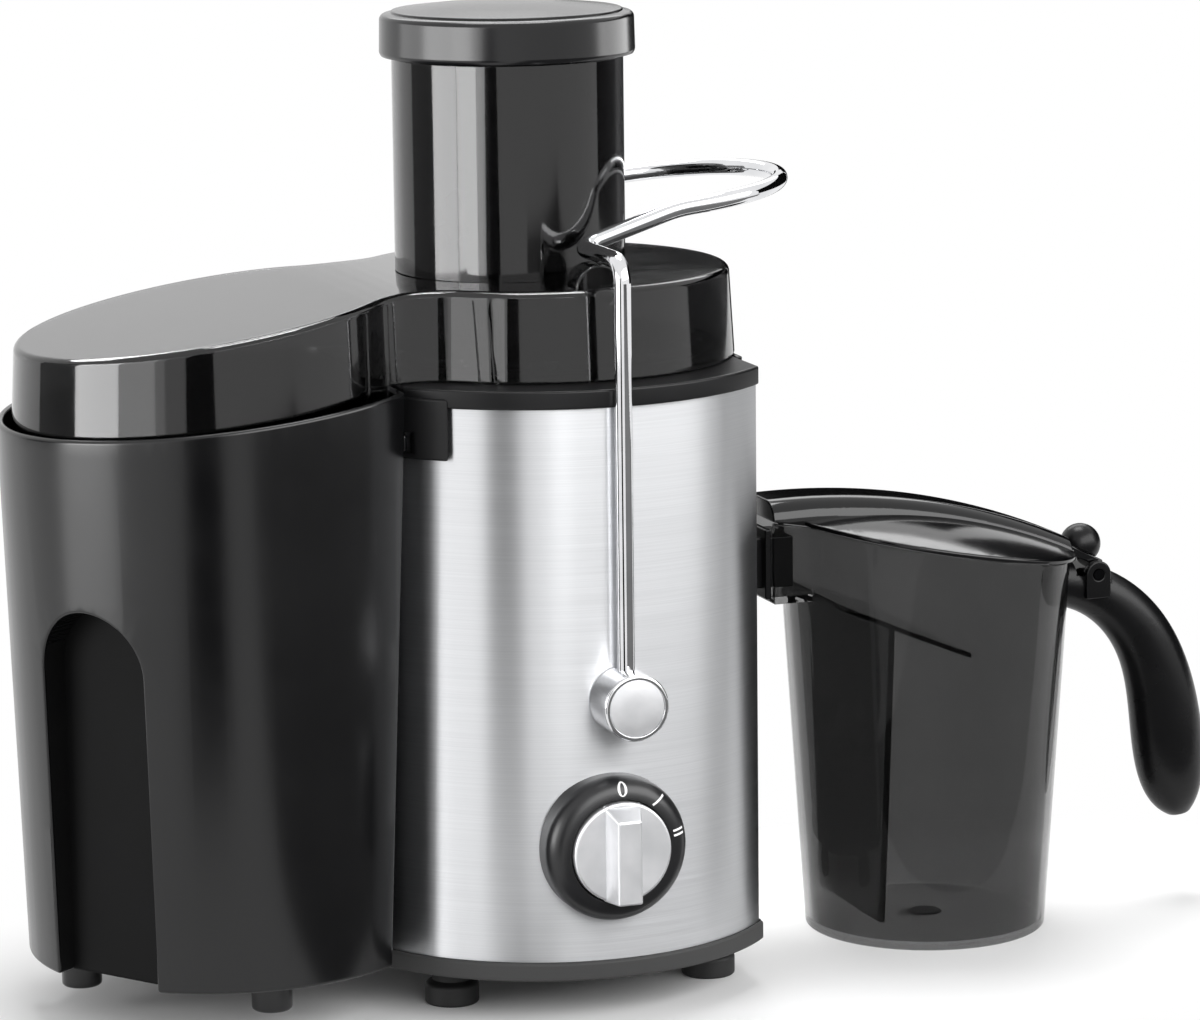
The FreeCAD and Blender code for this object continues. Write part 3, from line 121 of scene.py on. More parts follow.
def add_node(tree: bpy.types.NodeTree, kind: str, settings: dict[str, Any] | None = None,
             sockets: dict[str | int, Any] | None = None) -> bpy.types.Node:
    """Add a node, set its options, and fill or link its sockets.

    Args:
        tree: the node tree to add to.
        kind: the node's type name.
        settings: options of the node itself.
        sockets: values or other nodes' outputs for its inputs, by name or place.

    Returns:
        The new node.
    """
    node = tree.nodes.new(kind)
    for name, value in (settings or {}).items():
        setattr(node, name, value)
    for name, value in (sockets or {}).items():
        if isinstance(value, bpy.types.NodeSocket):
            tree.links.new(value, node.inputs[name])
        else:
            node.inputs[name].default_value = value
    return node


@dataclass(frozen=True)
class Finish(ABC):
    """A surface finish, made once and shared by the pieces that have it."""

    name: str
    dark: str
    light: str
    roughness: tuple[float, float]

    def material(self) -> bpy.types.Material:
        """Find the finish's material, or make it on first use.

        Returns:
            The material.
        """
        found = bpy.data.materials.get(self.name)
        if found is None:
            found = bpy.data.materials.new(self.name)
            found.use_nodes = True
            tree = found.node_tree
            tree.nodes.clear()
            shader = self.shade(tree)
            add_node(tree, "ShaderNodeOutputMaterial", sockets={"Surface": shader.outputs[0]})
        return found

    def pattern(self, tree: bpy.types.NodeTree, step_mm: Sequence[float],
                detail: float) -> bpy.types.NodeSocket:
        """Lay a noise on object coordinates, spread from 0 to 1.

        Args:
            tree: the material's node tree.
            step_mm: the pattern's size along x, y and z.
            detail: octaves of the noise.

        Returns:
            The grey output.
        """
        place = add_node(tree, "ShaderNodeTexCoord")
        scale = tuple(1.0 / (step * MM) for step in step_mm)
        spread = add_node(tree, "ShaderNodeMapping", sockets={
            "Vector": place.outputs["Object"], "Scale": scale})
        noise = add_node(tree, "ShaderNodeTexNoise", sockets={
            "Vector": spread.outputs["Vector"], "Scale": 1.0, "Detail": detail,
            "Roughness": NOISE_ROUGHNESS})
        full = add_node(tree, "ShaderNodeMapRange", sockets={
            "Value": noise.outputs[0], "From Min": NOISE_SPAN[0], "From Max": NOISE_SPAN[1]})
        return full.outputs["Result"]

    def varied(self, tree: bpy.types.NodeTree, tone: bpy.types.NodeSocket, relief: bpy.types.NodeSocket,
               relief_mm: float, sockets: dict[str, Any]) -> bpy.types.Node:
        """Lay a shader whose colour and gloss follow one pattern and whose relief follows another.

        Args:
            tree: the material's node tree.
            tone: pattern from the dark tone and low roughness to the light tone and high roughness.
            relief: pattern of the surface's height.
            relief_mm: the relief's depth.
            sockets: what is the same all over the surface.

        Returns:
            The shader node.
        """
        colour = add_node(tree, "ShaderNodeMix", {"data_type": "RGBA"}, {
            "Factor": tone, MIX_A: linear(self.dark), MIX_B: linear(self.light)})
        gloss = add_node(tree, "ShaderNodeMapRange", sockets={
            "Value": tone, "To Min": self.roughness[0], "To Max": self.roughness[1]})
        bump = add_node(tree, "ShaderNodeBump", sockets={
            "Height": relief, "Strength": BUMP_STRENGTH, "Distance": relief_mm * MM})
        return add_node(tree, "ShaderNodeBsdfPrincipled", sockets={
            "Base Color": colour.outputs[MIX_RESULT], "Roughness": gloss.outputs["Result"],
            "Normal": bump.outputs["Normal"], **sockets})

    @abstractmethod
    def shade(self, tree: bpy.types.NodeTree) -> bpy.types.Node:
        """Lay the finish's nodes in a tree and return the shader node."""


@dataclass(frozen=True)
class MouldedPlastic(Finish):
    """Injection-moulded plastic: a fine spark-eroded grain, and slow drifts of tone and gloss."""

    grain_mm: float = 0.8  # the real grain is about 0.1 mm; coarser here so that it shows
    relief_mm: float = 0.015
    drift_mm: float = 40.0
    ior: float = 1.5

    def shade(self, tree: bpy.types.NodeTree) -> bpy.types.Node:
        """Lay the plastic's nodes.

        Args:
            tree: the material's node tree.

        Returns:
            The shader node.
        """
        grain = self.pattern(tree, (self.grain_mm,) * 3, detail=2.0)
        drift = self.pattern(tree, (self.drift_mm,) * 3, detail=4.0)
        return self.varied(tree, drift, grain, self.relief_mm, {"IOR": self.ior})


@dataclass(frozen=True)
class SmokedPlastic(Finish):
    """Clear plastic dyed smoke grey: glossy, see-through against the light, with faint waves and smears."""

    ior: float = 1.57
    wave_mm: float = 45.0
    wave_stretch: float = 2.0  # flow waves are this much longer up and down
    relief_mm: float = 0.03
    smear_mm: float = 26.0

    def shade(self, tree: bpy.types.NodeTree) -> bpy.types.Node:
        """Lay the smoked plastic's nodes.

        Args:
            tree: the material's node tree.

        Returns:
            The shader node.
        """
        wave = self.pattern(tree, (self.wave_mm, self.wave_mm, self.wave_mm * self.wave_stretch), detail=1.0)
        smear = self.pattern(tree, (self.smear_mm,) * 3, detail=5.0)
        return self.varied(tree, smear, wave, self.relief_mm, {"IOR": self.ior, "Transmission Weight": 1.0})


@dataclass(frozen=True)
class BrushedSteel(Finish):
    """Stainless sheet brushed level: fine hairlines, which smear its reflections up and down."""

    line_mm: float = 0.4  # real hairlines are about 0.05 mm; as coarse here as the picture can show
    length_mm: float = 60.0
    relief_mm: float = 0.002
    smear: float = 0.88

    def shade(self, tree: bpy.types.NodeTree) -> bpy.types.Node:
        """Lay the brushed steel's nodes; its sheet map runs up the sheet, across the lines.

        Args:
            tree: the material's node tree.

        Returns:
            The shader node.
        """
        lines = self.pattern(tree, (self.length_mm, self.length_mm, self.line_mm), detail=3.0)
        across = add_node(tree, "ShaderNodeTangent", {"direction_type": "UV_MAP", "uv_map": SHEET_MAP})
        return self.varied(tree, lines, lines, self.relief_mm, {
            "Metallic": 1.0, "Anisotropic": self.smear, "Tangent": across.outputs["Tangent"]})


@dataclass(frozen=True)
class PlainMetal(Finish):
    """Metal without brushed lines: plated, rolled, cast or machined, with faint smears in its gloss."""

    smear_mm: float = 14.0
    pit_mm: float = 0.8
    relief_mm: float = 0.003

    def shade(self, tree: bpy.types.NodeTree) -> bpy.types.Node:
        """Lay the metal's nodes.

        Args:
            tree: the material's node tree.

        Returns:
            The shader node.
        """
        smear = self.pattern(tree, (self.smear_mm,) * 3, detail=4.0)
        pits = self.pattern(tree, (self.pit_mm,) * 3, detail=2.0)
        return self.varied(tree, smear, pits, self.relief_mm, {"Metallic": 1.0})


# Satin mouldings: a soft wide highlight on near black
BIN_ABS = MouldedPlastic("satin_black_abs", "050506", "080809", (0.2, 0.25), relief_mm=0.005)
BASE_ABS = MouldedPlastic("black_abs", "0a0a0b", "0f0f10", (0.3, 0.38), ior=1.28)
RING_ABS = MouldedPlastic("charcoal_abs", "0e0e0f", "141415", (0.30, 0.38), ior=1.34)
BEZEL_ABS = MouldedPlastic("graphite_abs", "131314", "1a1a1c", (0.28, 0.34))
HANDLE_ABS = MouldedPlastic("handle_black_abs", "080809", "0c0c0d", (0.24, 0.32), ior=1.33)
CAP_ABS = MouldedPlastic("graphite_grey_abs", "08080a", "0e0e10", (0.2, 0.24), relief_mm=0.003)
PUSHER_PP = MouldedPlastic("black_polypropylene", "08080a", "0d0d0e", (0.2, 0.3))
# The bin's sunk grips, left matt by the mould: dull black, with hardly a highlight
GRIP_ABS = MouldedPlastic("matt_black_abs", "050506", "090909", (0.62, 0.7), relief_mm=0.03, ior=1.2)
# Polished mouldings: sharp reflections on black
GLOSS_ABS = MouldedPlastic("gloss_black_abs", "060607", "0a0a0b", (0.07, 0.13), relief_mm=0.003, ior=1.46)
# Print and inner mouldings: plain and even
MARK_INK = MouldedPlastic("white_pad_print", "e4e4e4", "f0f0f0", (0.4, 0.5))
SWITCH_PBT = MouldedPlastic("grey_pbt", "3a3b3d", "46474a", (0.4, 0.5))
NYLON = MouldedPlastic("natural_nylon", "c9c6ba", "d6d3c8", (0.4, 0.5))
# Rubber and carbon: dull, with a coarser grain
RUBBER = MouldedPlastic("moulded_rubber", "0d0d0d", "151515", (0.5, 0.65), grain_mm=1.2, relief_mm=0.03)
CARBON = MouldedPlastic("pressed_carbon", "1d1d1f", "2b2b2e", (0.45, 0.6), relief_mm=0.05)
# Dyed clear plastic: dark where it is thick or backed, grey against the light; the jug's floor gets a paler copy,
# which is painted light that brightens the floor
SMOKED_LID = SmokedPlastic("smoked_san_lid", "4b4b4c", "535354", (0.05, 0.09))
SMOKED_JUG = SmokedPlastic("smoked_san_jug", "7f7f7f", "858585", (0.02, 0.04), ior=1.22)
PAINTED_LIGHT_SMOKE = SmokedPlastic("smoked_san_floor_painted_light", "a6a6a6", "acacac", (0.02, 0.04), ior=1.22)
# Metals: brushed sheet, mirror plate, satin plate, dull fasteners, castings and wire
STEEL = BrushedSteel("brushed_stainless_steel", "d3d4d6", "dcdddf", (0.32, 0.36))
CHROME = PlainMetal("chrome_plating", "dcdddf", "ececee", (0.02, 0.05))
SATIN_CHROME = PlainMetal("satin_chrome_plating", "e6e7e9", "f0f0f2", (0.44, 0.5))
BLACK_STEEL = PlainMetal("blackened_steel", "141415", "1c1c1e", (0.2, 0.3))
ZINC = PlainMetal("zinc_plated_steel", "9a9b99", "b2b3b0", (0.28, 0.42), relief_mm=0.02)
CAST_ALUMINIUM = PlainMetal("cast_aluminium", "8d8e90", "a3a4a6", (0.42, 0.58), pit_mm=1.1, relief_mm=0.06)
COPPER = PlainMetal("enamelled_copper", "8a4a2c", "a45c36", (0.25, 0.38), relief_mm=0.08)
STAINLESS = PlainMetal("rolled_stainless_steel", "a8aaac", "bfc1c3", (0.18, 0.3), relief_mm=0.02)

NODE_FINISH: dict[Finish, tuple[str, ...]] = {
    BASE_ABS: ("base_tray", "motor_housing"),
    RING_ABS: ("top_ring",),
    STEEL: ("jacket_front", "jacket_rear"),
    GLOSS_ABS: ("juice_bowl", "jug_lid"),
    HANDLE_ABS: ("juice_spout", "jug_handle", "thumb_ball"),
    SMOKED_LID: ("lid",),
    SMOKED_JUG: ("jug", "foam_separator"),
    BIN_ABS: ("pulp_bin", "bin_pegs"),
    PUSHER_PP: ("pusher_tube",),
    CAP_ABS: ("pusher_cap",),
    CHROME: ("bail_bar", "bail_hub_front", "bail_hub_rear"),
    BEZEL_ABS: ("dial_bezel",),
    SATIN_CHROME: ("dial_knob",),
    RUBBER: ("feet", "lid_seal", "rubber_dampers", "shaft_seal", "cord_bushing"),
    ZINC: ("foot_screws", "upper_bearing", "lower_bearing", "stator", "stator_bolts", "drive_shaft",
           "pivot_screws", "dial_spindle"),
    BLACK_STEEL: ("hinge_pin",),
    CAST_ALUMINIUM: ("upper_bracket", "lower_bracket"),
    COPPER: ("field_windings", "armature", "commutator"),
    CARBON: ("carbon_brushes",),
    SWITCH_PBT: ("brush_holders", "cooling_fan", "pivot_bushes", "speed_switch", "interlock_switch"),
    NYLON: ("drive_coupling", "clamp_nut"),
    STAINLESS: ("sieve_basket", "grater_disc"),
}


def dress_nodes() -> None:
    """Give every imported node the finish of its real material."""
    for finish, names in NODE_FINISH.items():
        for name in names:
            mesh = frame["nodes"][name].data
            mesh.materials.clear()
            mesh.materials.append(finish.material())


class Corner(NamedTuple):
    """A corner of an outline that is spun: its place, and how far back from it its rounding starts, mm."""

    radius: float
    height: float
    rounding: float = 0.0


def turned(profile: Sequence[Corner], segments: int = TURN_STEPS) -> BMesh:
    """Spin an outline round Z.

    Args:
        profile: the outline's corners, in order.
        segments: steps round the full turn.

    Returns:
        The turned shape.
    """
    shape = bmesh.new()
    verts = [shape.verts.new((corner.radius, 0.0, corner.height)) for corner in profile]
    for first, second in zip(verts, verts[1:]):
        shape.edges.new((first, second))
    for vert, corner in zip(verts, profile):
        if corner.rounding:
            bmesh.ops.bevel(shape, geom=[vert], offset=corner.rounding, offset_type="OFFSET",
                            segments=ROUND_STEPS, profile=0.5, affect="VERTICES", material=-1)
    bmesh.ops.spin(shape, geom=shape.verts[:] + shape.edges[:], cent=ORIGIN, axis=UP, angle=math.tau,
                   steps=segments, use_merge=True)
    bmesh.ops.remove_doubles(shape, verts=shape.verts, dist=MERGE_TURNED)
    bmesh.ops.recalc_face_normals(shape, faces=shape.faces)
    return shape


def round_bar(radius: float, length: float, segments: int, capped: bool = True) -> BMesh:
    """Draw a round bar or an open tube along Z, about the origin.

    Args:
        radius: its radius, mm.
        length: its length, mm.
        segments: steps round it.
        capped: whether its ends are closed.

    Returns:
        The bar.
    """
    shape = bmesh.new()
    bmesh.ops.create_cone(shape, cap_ends=capped, segments=segments, radius1=radius, radius2=radius,
                          depth=length)
    return shape


def moved(shape: BMesh, x: float, z: float = 0.0) -> BMesh:
    """Move a shape along X and Z, and return it."""
    bmesh.ops.translate(shape, vec=(x, 0.0, z), verts=shape.verts)
    return shape


def sliced(shape: BMesh, point: Sequence[float], normal: Sequence[float], clear: bool = False) -> list[BMEdge]:
    """Cut a shape along a plane.

    Args:
        shape: the shape, which is changed.
        point: a place in the plane.
        normal: the plane's direction.
        clear: whether what lies past the plane goes.

    Returns:
        The edges that lie in the plane.
    """
    cut = bmesh.ops.bisect_plane(shape, geom=shape.verts[:] + shape.edges[:] + shape.faces[:],
                                 plane_co=point, plane_no=normal, clear_outer=clear)
    return [part for part in cut["geom_cut"] if isinstance(part, BMEdge)]


def verts_of(parts: Iterable[Any]) -> list[BMVert]:
    """Return the corners among the parts that an operator made."""
    return [part for part in parts if isinstance(part, BMVert)]


def corner_edges(shape: BMesh) -> list[BMEdge]:
    """Return the edges of a shape that are corners."""
    return [edge for edge in shape.edges
            if len(edge.link_faces) == 2 and edge.calc_face_angle(0.0) > math.radians(SHARP)]


def outer_corners(shape: BMesh) -> list[BMEdge]:
    """Return the corners of a shape that stand out, and not the hollow ones."""
    return [edge for edge in corner_edges(shape) if edge.is_convex]


def rounded(shape: BMesh, edges: list[BMEdge], width: float, segments: int) -> None:
    """Round some edges of a shape.

    Args:
        shape: the shape, which is changed.
        edges: the edges to round.
        width: how far the rounding reaches from each edge, mm.
        segments: faces across the rounding.
    """
    bmesh.ops.bevel(shape, geom=edges, offset=width, offset_type="OFFSET", segments=segments, profile=0.5,
                    affect="EDGES", clamp_overlap=False, material=-1)


def eased(shape: BMesh, width: float, segments: int = EASE_STEPS) -> BMesh:
    """Round every corner of a shape that stands out, and return it."""
    rounded(shape, outer_corners(shape), width, segments)
    return shape


def cleaned(shape: BMesh, merge: float) -> BMesh:
    """Make doubled corners one, and likewise faces that lie in one plane.

    Args:
        shape: the shape, which is changed.
        merge: how close doubled corners lie, mm.

    Returns:
        The same shape.
    """
    bmesh.ops.remove_doubles(shape, verts=shape.verts, dist=merge)
    bmesh.ops.dissolve_limit(shape, angle_limit=math.radians(FLAT), verts=shape.verts, edges=shape.edges)
    return shape


def softened(node: str, width: float) -> BMesh:
    """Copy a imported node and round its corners, as its mould or tool leaves them.

    Args:
        node: the node's name.
        width: how far the rounding reaches from each edge, mm.

    Returns:
        The rounded copy, about the drive axis.
    """
    shape = bmesh.new()
    shape.from_mesh(frame["nodes"][node].data)
    bmesh.ops.transform(shape, matrix=TO_FRAME.inverted(), verts=shape.verts)
    return eased(cleaned(shape, MERGE_PACKED), width)


def as_mesh(shape: BMesh, name: str) -> bpy.types.Mesh:
    """Write a shape to a new mesh.

    Args:
        shape: the shape, which is freed.
        name: the mesh's name.

    Returns:
        The mesh.
    """
    mesh = bpy.data.meshes.new(name)
    shape.to_mesh(mesh)
    shape.free()
    return mesh


def joined(first: BMesh, second: BMesh) -> BMesh:
    """Put one shape into another, each as its own shell.

    Args:
        first: the shape that takes the other.
        second: the other, which is freed.

    Returns:
        The first shape.
    """
    mesh = as_mesh(second, "joined")
    first.from_mesh(mesh)
    bpy.data.meshes.remove(mesh)
    return first


class Carve(str, Enum):
    """What a tool does to a shape."""

    ADD = "UNION"
    TAKE = "DIFFERENCE"


def carved(shape: BMesh, tool: BMesh, how: Carve) -> BMesh:
    """Add a tool to a shape, or take it away.

    Args:
        shape: the shape to work on, which is freed.
        tool: the other shape, which is freed.
        how: add or take.

    Returns:
        The new shape.
    """
    things = []
    for work in (shape, tool):
        thing = bpy.data.objects.new("carving", as_mesh(work, "carving"))
        bpy.context.scene.collection.objects.link(thing)
        things.append(thing)
    cutter = things[0].modifiers.new("carve", "BOOLEAN")
    cutter.object = things[1]
    cutter.operation = how.value
    cutter.solver = "EXACT"
    result = bmesh.new()
    result.from_object(things[0], bpy.context.evaluated_depsgraph_get())
    for thing in things:
        mesh = thing.data
        bpy.data.objects.remove(thing)
        bpy.data.meshes.remove(mesh)
    return result


def towards_front(shape: BMesh, x: float, z: float) -> BMesh:
    """Lay a turned shape over, so that its heights run towards -Y.

    Args:
        shape: the shape, which is changed.
        x: where its axis comes to lie along X, mm.
        z: how high its axis comes to lie, mm.

    Returns:
        The same shape.
    """
    over = Matrix.Translation((x, 0.0, z)) @ Matrix.Rotation(QUARTER_TURN, 4, "X")
    bmesh.ops.transform(shape, matrix=over, verts=shape.verts)
    return shape


def add_piece(name: str, shape: BMesh, finish: Finish, body: Body, stands_for: Sequence[str] = ()) -> bpy.types.Object:
    """Make a finished piece of a shape and hang it on its body.

    Args:
        name: the piece's name.
        shape: its shape about the drive axis in mm, which is freed.
        finish: what its surface is.
        body: the body that it moves with.
        stands_for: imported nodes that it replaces.

    Returns:
        The piece.
    """
    bmesh.ops.transform(shape, matrix=TO_FRAME, verts=shape.verts)
    mesh = as_mesh(shape, name)
    if "custom_normal" in mesh.attributes:
        mesh.attributes.remove(mesh.attributes["custom_normal"])
    mesh.shade_smooth()
    mesh.set_sharp_from_angle(angle=math.radians(SHARP))
    mesh.materials.clear()
    mesh.materials.append(finish.material())
    piece = bpy.data.objects.new(name, mesh)
    bpy.context.scene.collection.objects.link(piece)
    weights = piece.modifiers.new("even_shading", "WEIGHTED_NORMAL")
    weights.keep_sharp = True
    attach(piece, body.value)
    if stands_for:
        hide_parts(*stands_for)
    log.info("%s: %d faces on %s", name, len(mesh.polygons), body.value)
    return piece


def ease_nodes(widths: dict[str, float], finish: Finish, body: Body) -> None:
    """Replace nodes by copies with rounded corners.

    Args:
        widths: the rounding of each node, mm.
        finish: their finish.
        body: their body.
    """
    for node, width in widths.items():
        add_piece(node + "_moulding", softened(node, width), finish, body, [node])


@dataclass
class MotorBase:
    """The steel-clad base: jacket halves, tray, feet, housing, top ring, bowl and spout."""

    jacket_r: float = 81.5
    jacket_t: float = 0.8
    jacket_low: float = 22.0
    jacket_high: float = 214.5
    jacket_edge: float = 0.25
    edge_steps: int = 2
    jacket_steps: int = 240  # round the full turn
    left: float = 66.4  # the sheet's left edge, at its top
    lean: float = 2.4  # degrees that the left edge leans
    right: float = 60.9

    def build(self) -> None:
        """Build and dress the base."""
        for name, side in (("jacket_front", 1.0), ("jacket_rear", -1.0)):
            add_piece(name + "_sheet", self.jacket(side), STEEL, Body.BASE, [name])
        ease_nodes({"base_tray": 1.0, "motor_housing": 0.5}, BASE_ABS, Body.BASE)
        ease_nodes({"top_ring": 0.9}, RING_ABS, Body.BASE)
        ease_nodes({"feet": 0.9, "cord_bushing": 0.6}, RUBBER, Body.BASE)
        ease_nodes({"juice_bowl": 0.5}, GLOSS_ABS, Body.BASE)
        ease_nodes({"juice_spout": 0.6}, HANDLE_ABS, Body.BASE)

    def jacket(self, side: float) -> BMesh:
        """Bend one half of the steel sheet.

        Args:
            side: 1 for the front half, -1 for the rear half.

        Returns:
            The sheet with its thickness and eased edges.
        """
        tube = round_bar(self.jacket_r, self.jacket_high - self.jacket_low, self.jacket_steps, capped=False)
        shape = moved(tube, 0.0, (self.jacket_high + self.jacket_low) / 2.0)
        lean = math.radians(self.lean)
        sliced(shape, (-self.left, 0.0, self.jacket_high), (-math.cos(lean), 0.0, math.sin(lean)), clear=True)
        sliced(shape, (self.right, 0.0, 0.0), ALONG_X, clear=True)
        sliced(shape, ORIGIN, (0.0, side, 0.0), clear=True)
        bmesh.ops.solidify(shape, geom=shape.faces[:], thickness=self.jacket_t)
        eased(shape, self.jacket_edge, self.edge_steps)
        sheet = shape.loops.layers.uv.new(SHEET_MAP)
        for face in shape.faces:
            for loop in face.loops:
                place = loop.vert.co
                along = math.atan2(place.x, -place.y * side) * self.jacket_r
                loop[sheet].uv = (place.z * MM, along * MM)
        return shape


@dataclass
class PulpBin:
    """The bin with its matt grip arches, and its three pegs."""

    axis_x: float = -118.0
    grip_turn: float = 36.0  # degrees from the bin's far left to the middle of each arch
    grip_half: float = 21.8
    grip_depths: tuple[float, float] = (58.5, 66.0)  # from the bin's axis, of the arches' sunk faces
    grip_top: float = 150.5

    def build(self) -> None:
        """Build and dress the bin."""
        ease_nodes({"bin_pegs": 1.2}, BIN_ABS, Body.BASE)
        piece = add_piece("pulp_bin_moulding", softened("pulp_bin", 1.3), BIN_ABS, Body.BASE, ["pulp_bin"])
        piece.data.materials.append(GRIP_ABS.material())
        for face in piece.data.polygons:
            face.material_index = int(self.in_grip(TO_FRAME.inverted() @ face.center))

    def in_grip(self, place: Vector) -> bool:
        """Tell whether a place of the bin is in one of its sunk grips.

        Args:
            place: the place about the drive axis, mm.

        Returns:
            Whether it is.
        """
        away = place - Vector((self.axis_x, 0.0, 0.0))
        turn = math.radians(self.grip_turn)
        out = Vector((-math.cos(turn), math.copysign(math.sin(turn), away.y), 0.0))
        deep = self.grip_depths[0] < away.dot(out) < self.grip_depths[1]
        return deep and abs(away.cross(out).z) < self.grip_half and place.z < self.grip_top


@dataclass
class SmokedLid:
    """The see-through lid: a round cap, the slanted pulp cover that flows into it, chute and bail rests."""

    cap_r: float = 67.4
    cover_x: float = -119.5
    web_r: float = 21.6  # of the hollow curves between cap and cover
    draft: float = 1.7  # how much wider the wall is at its foot
    cap_top: float = 252.5
    cap_low: float = 221.2
    skirt_low: float = 201.4
    skirt_x: float = -71.0
    cover_z: float = 244.0
    cover_tilt: float = 8.5
    blend: float = 1.4  # softness of the bend between cover and cap
    bend_cuts: tuple[int, int, int] = (-100, -30, 5)  # from, to and step along X of the cuts that let it bend
    top_band: float = 1.0  # only corners less than this below the drawn outline are the top's
    edge: float = 2.6
    rim_above: float = 5.0  # how far above the cap's foot its rim starts
    small_edge: float = 0.7
    wall: float = 2.5
    arc_steps: int = 120
    web_steps: int = 16
    chute_x: float = -10.0
    chute_r: float = 40.4
    chute_wall: float = 2.5
    chute_low: float = 185.7
    chute_top: float = 327.0
    stub_sunk: float = 0.5  # how far below the cap's top the chute's lower length ends
    seam: float = 0.02  # between the cap's top and the chute's upper length, so that no faces coincide
    tool_past: float = 1.0  # how far a cutting tool runs past what it cuts
    rest_r: float = 8.5
    rest_z: float = 252.0
    rest_span: tuple[float, float] = (53.0, 65.0)
    rest_steps: int = 64

    def build(self) -> None:
        """Build and dress the lid."""
        inner = self.chute_r - self.chute_wall
        stub = self.tube(self.chute_r, self.chute_low, self.cap_top - self.stub_sunk)
        bore = self.tube(inner, self.chute_low - self.tool_past, self.chute_top)
        shape = carved(carved(self.shell(), stub, Carve.ADD), bore, Carve.TAKE)
        for side in (-1.0, 1.0):
            shape = carved(shape, self.rest(side), Carve.ADD)
        shape = eased(cleaned(shape, MERGE_CARVED), self.small_edge)
        add_piece("smoked_lid", shape, SMOKED_LID, Body.BASE, ["lid"])
        add_piece("smoked_chute", self.chute(inner), SMOKED_LID, Body.BASE)

    def chute(self, inner: float) -> BMesh:
        """Turn the chute's upper length, which stands on the cap.

        Args:
            inner: the bore's radius, mm.

        Returns:
            The tube with a soft brim.
        """
        foot, top = self.cap_top + self.seam, self.chute_top
        shape = turned([
            Corner(inner, foot), Corner(self.chute_r, foot), Corner(self.chute_r, top, self.small_edge),
            Corner(inner, top, self.small_edge), Corner(inner, foot)])
        return moved(shape, self.chute_x)

    def top_height(self, x: float) -> float:
        """Return the height of the lid's top along X: slanted, then level, with a soft bend."""
        fall = self.cap_top - self.cover_z - (x - self.cover_x) * math.tan(math.radians(self.cover_tilt))
        return self.cap_top - (fall + math.hypot(fall, self.blend)) / 2.0

    def outline(self) -> BMesh:
        """Draw the lid's top outline: two circles joined by hollow curves.

        Returns:
            The closed outline, on the ground.
        """
        middle = self.cover_x / 2.0
        hollow_y = math.sqrt((self.cap_r + self.web_r) ** 2 - middle ** 2)
        meet = math.atan2(hollow_y, middle)
        share = self.cap_r / (self.cap_r + self.web_r)
        hollow_turn = math.pi - 2.0 * (math.pi - meet)
        arcs = (((0.0, 0.0), 2.0 * meet, self.arc_steps), ((middle, hollow_y), -hollow_turn, self.web_steps),
                ((self.cover_x, 0.0), 2.0 * meet, self.arc_steps),
                ((middle, -hollow_y), -hollow_turn, self.web_steps))
        shape = bmesh.new()
        end = [shape.verts.new((middle * share, -hollow_y * share, 0.0))]
        for (x, y), turn, steps in arcs:
            swept = bmesh.ops.spin(shape, geom=end, cent=(x, y, 0.0), axis=UP, angle=turn, steps=steps)
            end = verts_of(swept["geom_last"])
        bmesh.ops.remove_doubles(shape, verts=shape.verts, dist=MERGE_DRAWN)
        return shape

    def shell(self) -> BMesh:
        """Draw the lid's open-bottomed shell without its chute.

        Returns:
            The shell with its wall's thickness.
        """
        shape = self.outline()
        top_edges = shape.edges[:]
        low = verts_of(bmesh.ops.extrude_edge_only(shape, edges=top_edges)["geom"])
        bmesh.ops.translate(shape, vec=(0.0, 0.0, -self.cap_top), verts=low)
        bmesh.ops.contextual_create(shape, geom=top_edges)
        bmesh.ops.recalc_face_normals(shape, faces=shape.faces)
        shape.normal_update()
        for vert in low:
            outward = Vector((vert.normal.x, vert.normal.y, 0.0)).normalized()
            vert.co += outward * self.draft
        for x in range(*self.bend_cuts):
            sliced(shape, (float(x), 0.0, 0.0), ALONG_X)
        for vert in shape.verts:
            if vert.co.z > -self.top_band:
                vert.co.z = self.top_height(vert.co.x)
            else:
                vert.co.z = self.skirt_low if vert.co.x < self.skirt_x else self.cap_low
        rim_low = self.cap_low + self.rim_above
        rim = [edge for edge in corner_edges(shape) if min(vert.co.z for vert in edge.verts) > rim_low]
        rounded(shape, rim, self.edge, ROUND_STEPS)
        bmesh.ops.solidify(shape, geom=shape.faces[:], thickness=self.wall)
        return shape

    def tube(self, radius: float, low: float, top: float) -> BMesh:
        """Draw a solid round bar on the chute's axis."""
        return moved(round_bar(radius, top - low, TURN_STEPS), self.chute_x, (low + top) / 2.0)

    def rest(self, side: float) -> BMesh:
        """Draw the arched rest that the bail's crossbar snaps over.

        Args:
            side: 1 for the rear, -1 for the front.

        Returns:
            The rest, as a bar that the lid's wall takes in.
        """
        inner, outer = self.rest_span
        shape = round_bar(self.rest_r, outer - inner, self.rest_steps)
        seat = Matrix.Translation((0.0, side * (inner + outer) / 2.0, self.rest_z))
        bmesh.ops.transform(shape, matrix=seat @ Matrix.Rotation(QUARTER_TURN, 4, "X"), verts=shape.verts)
        return shape


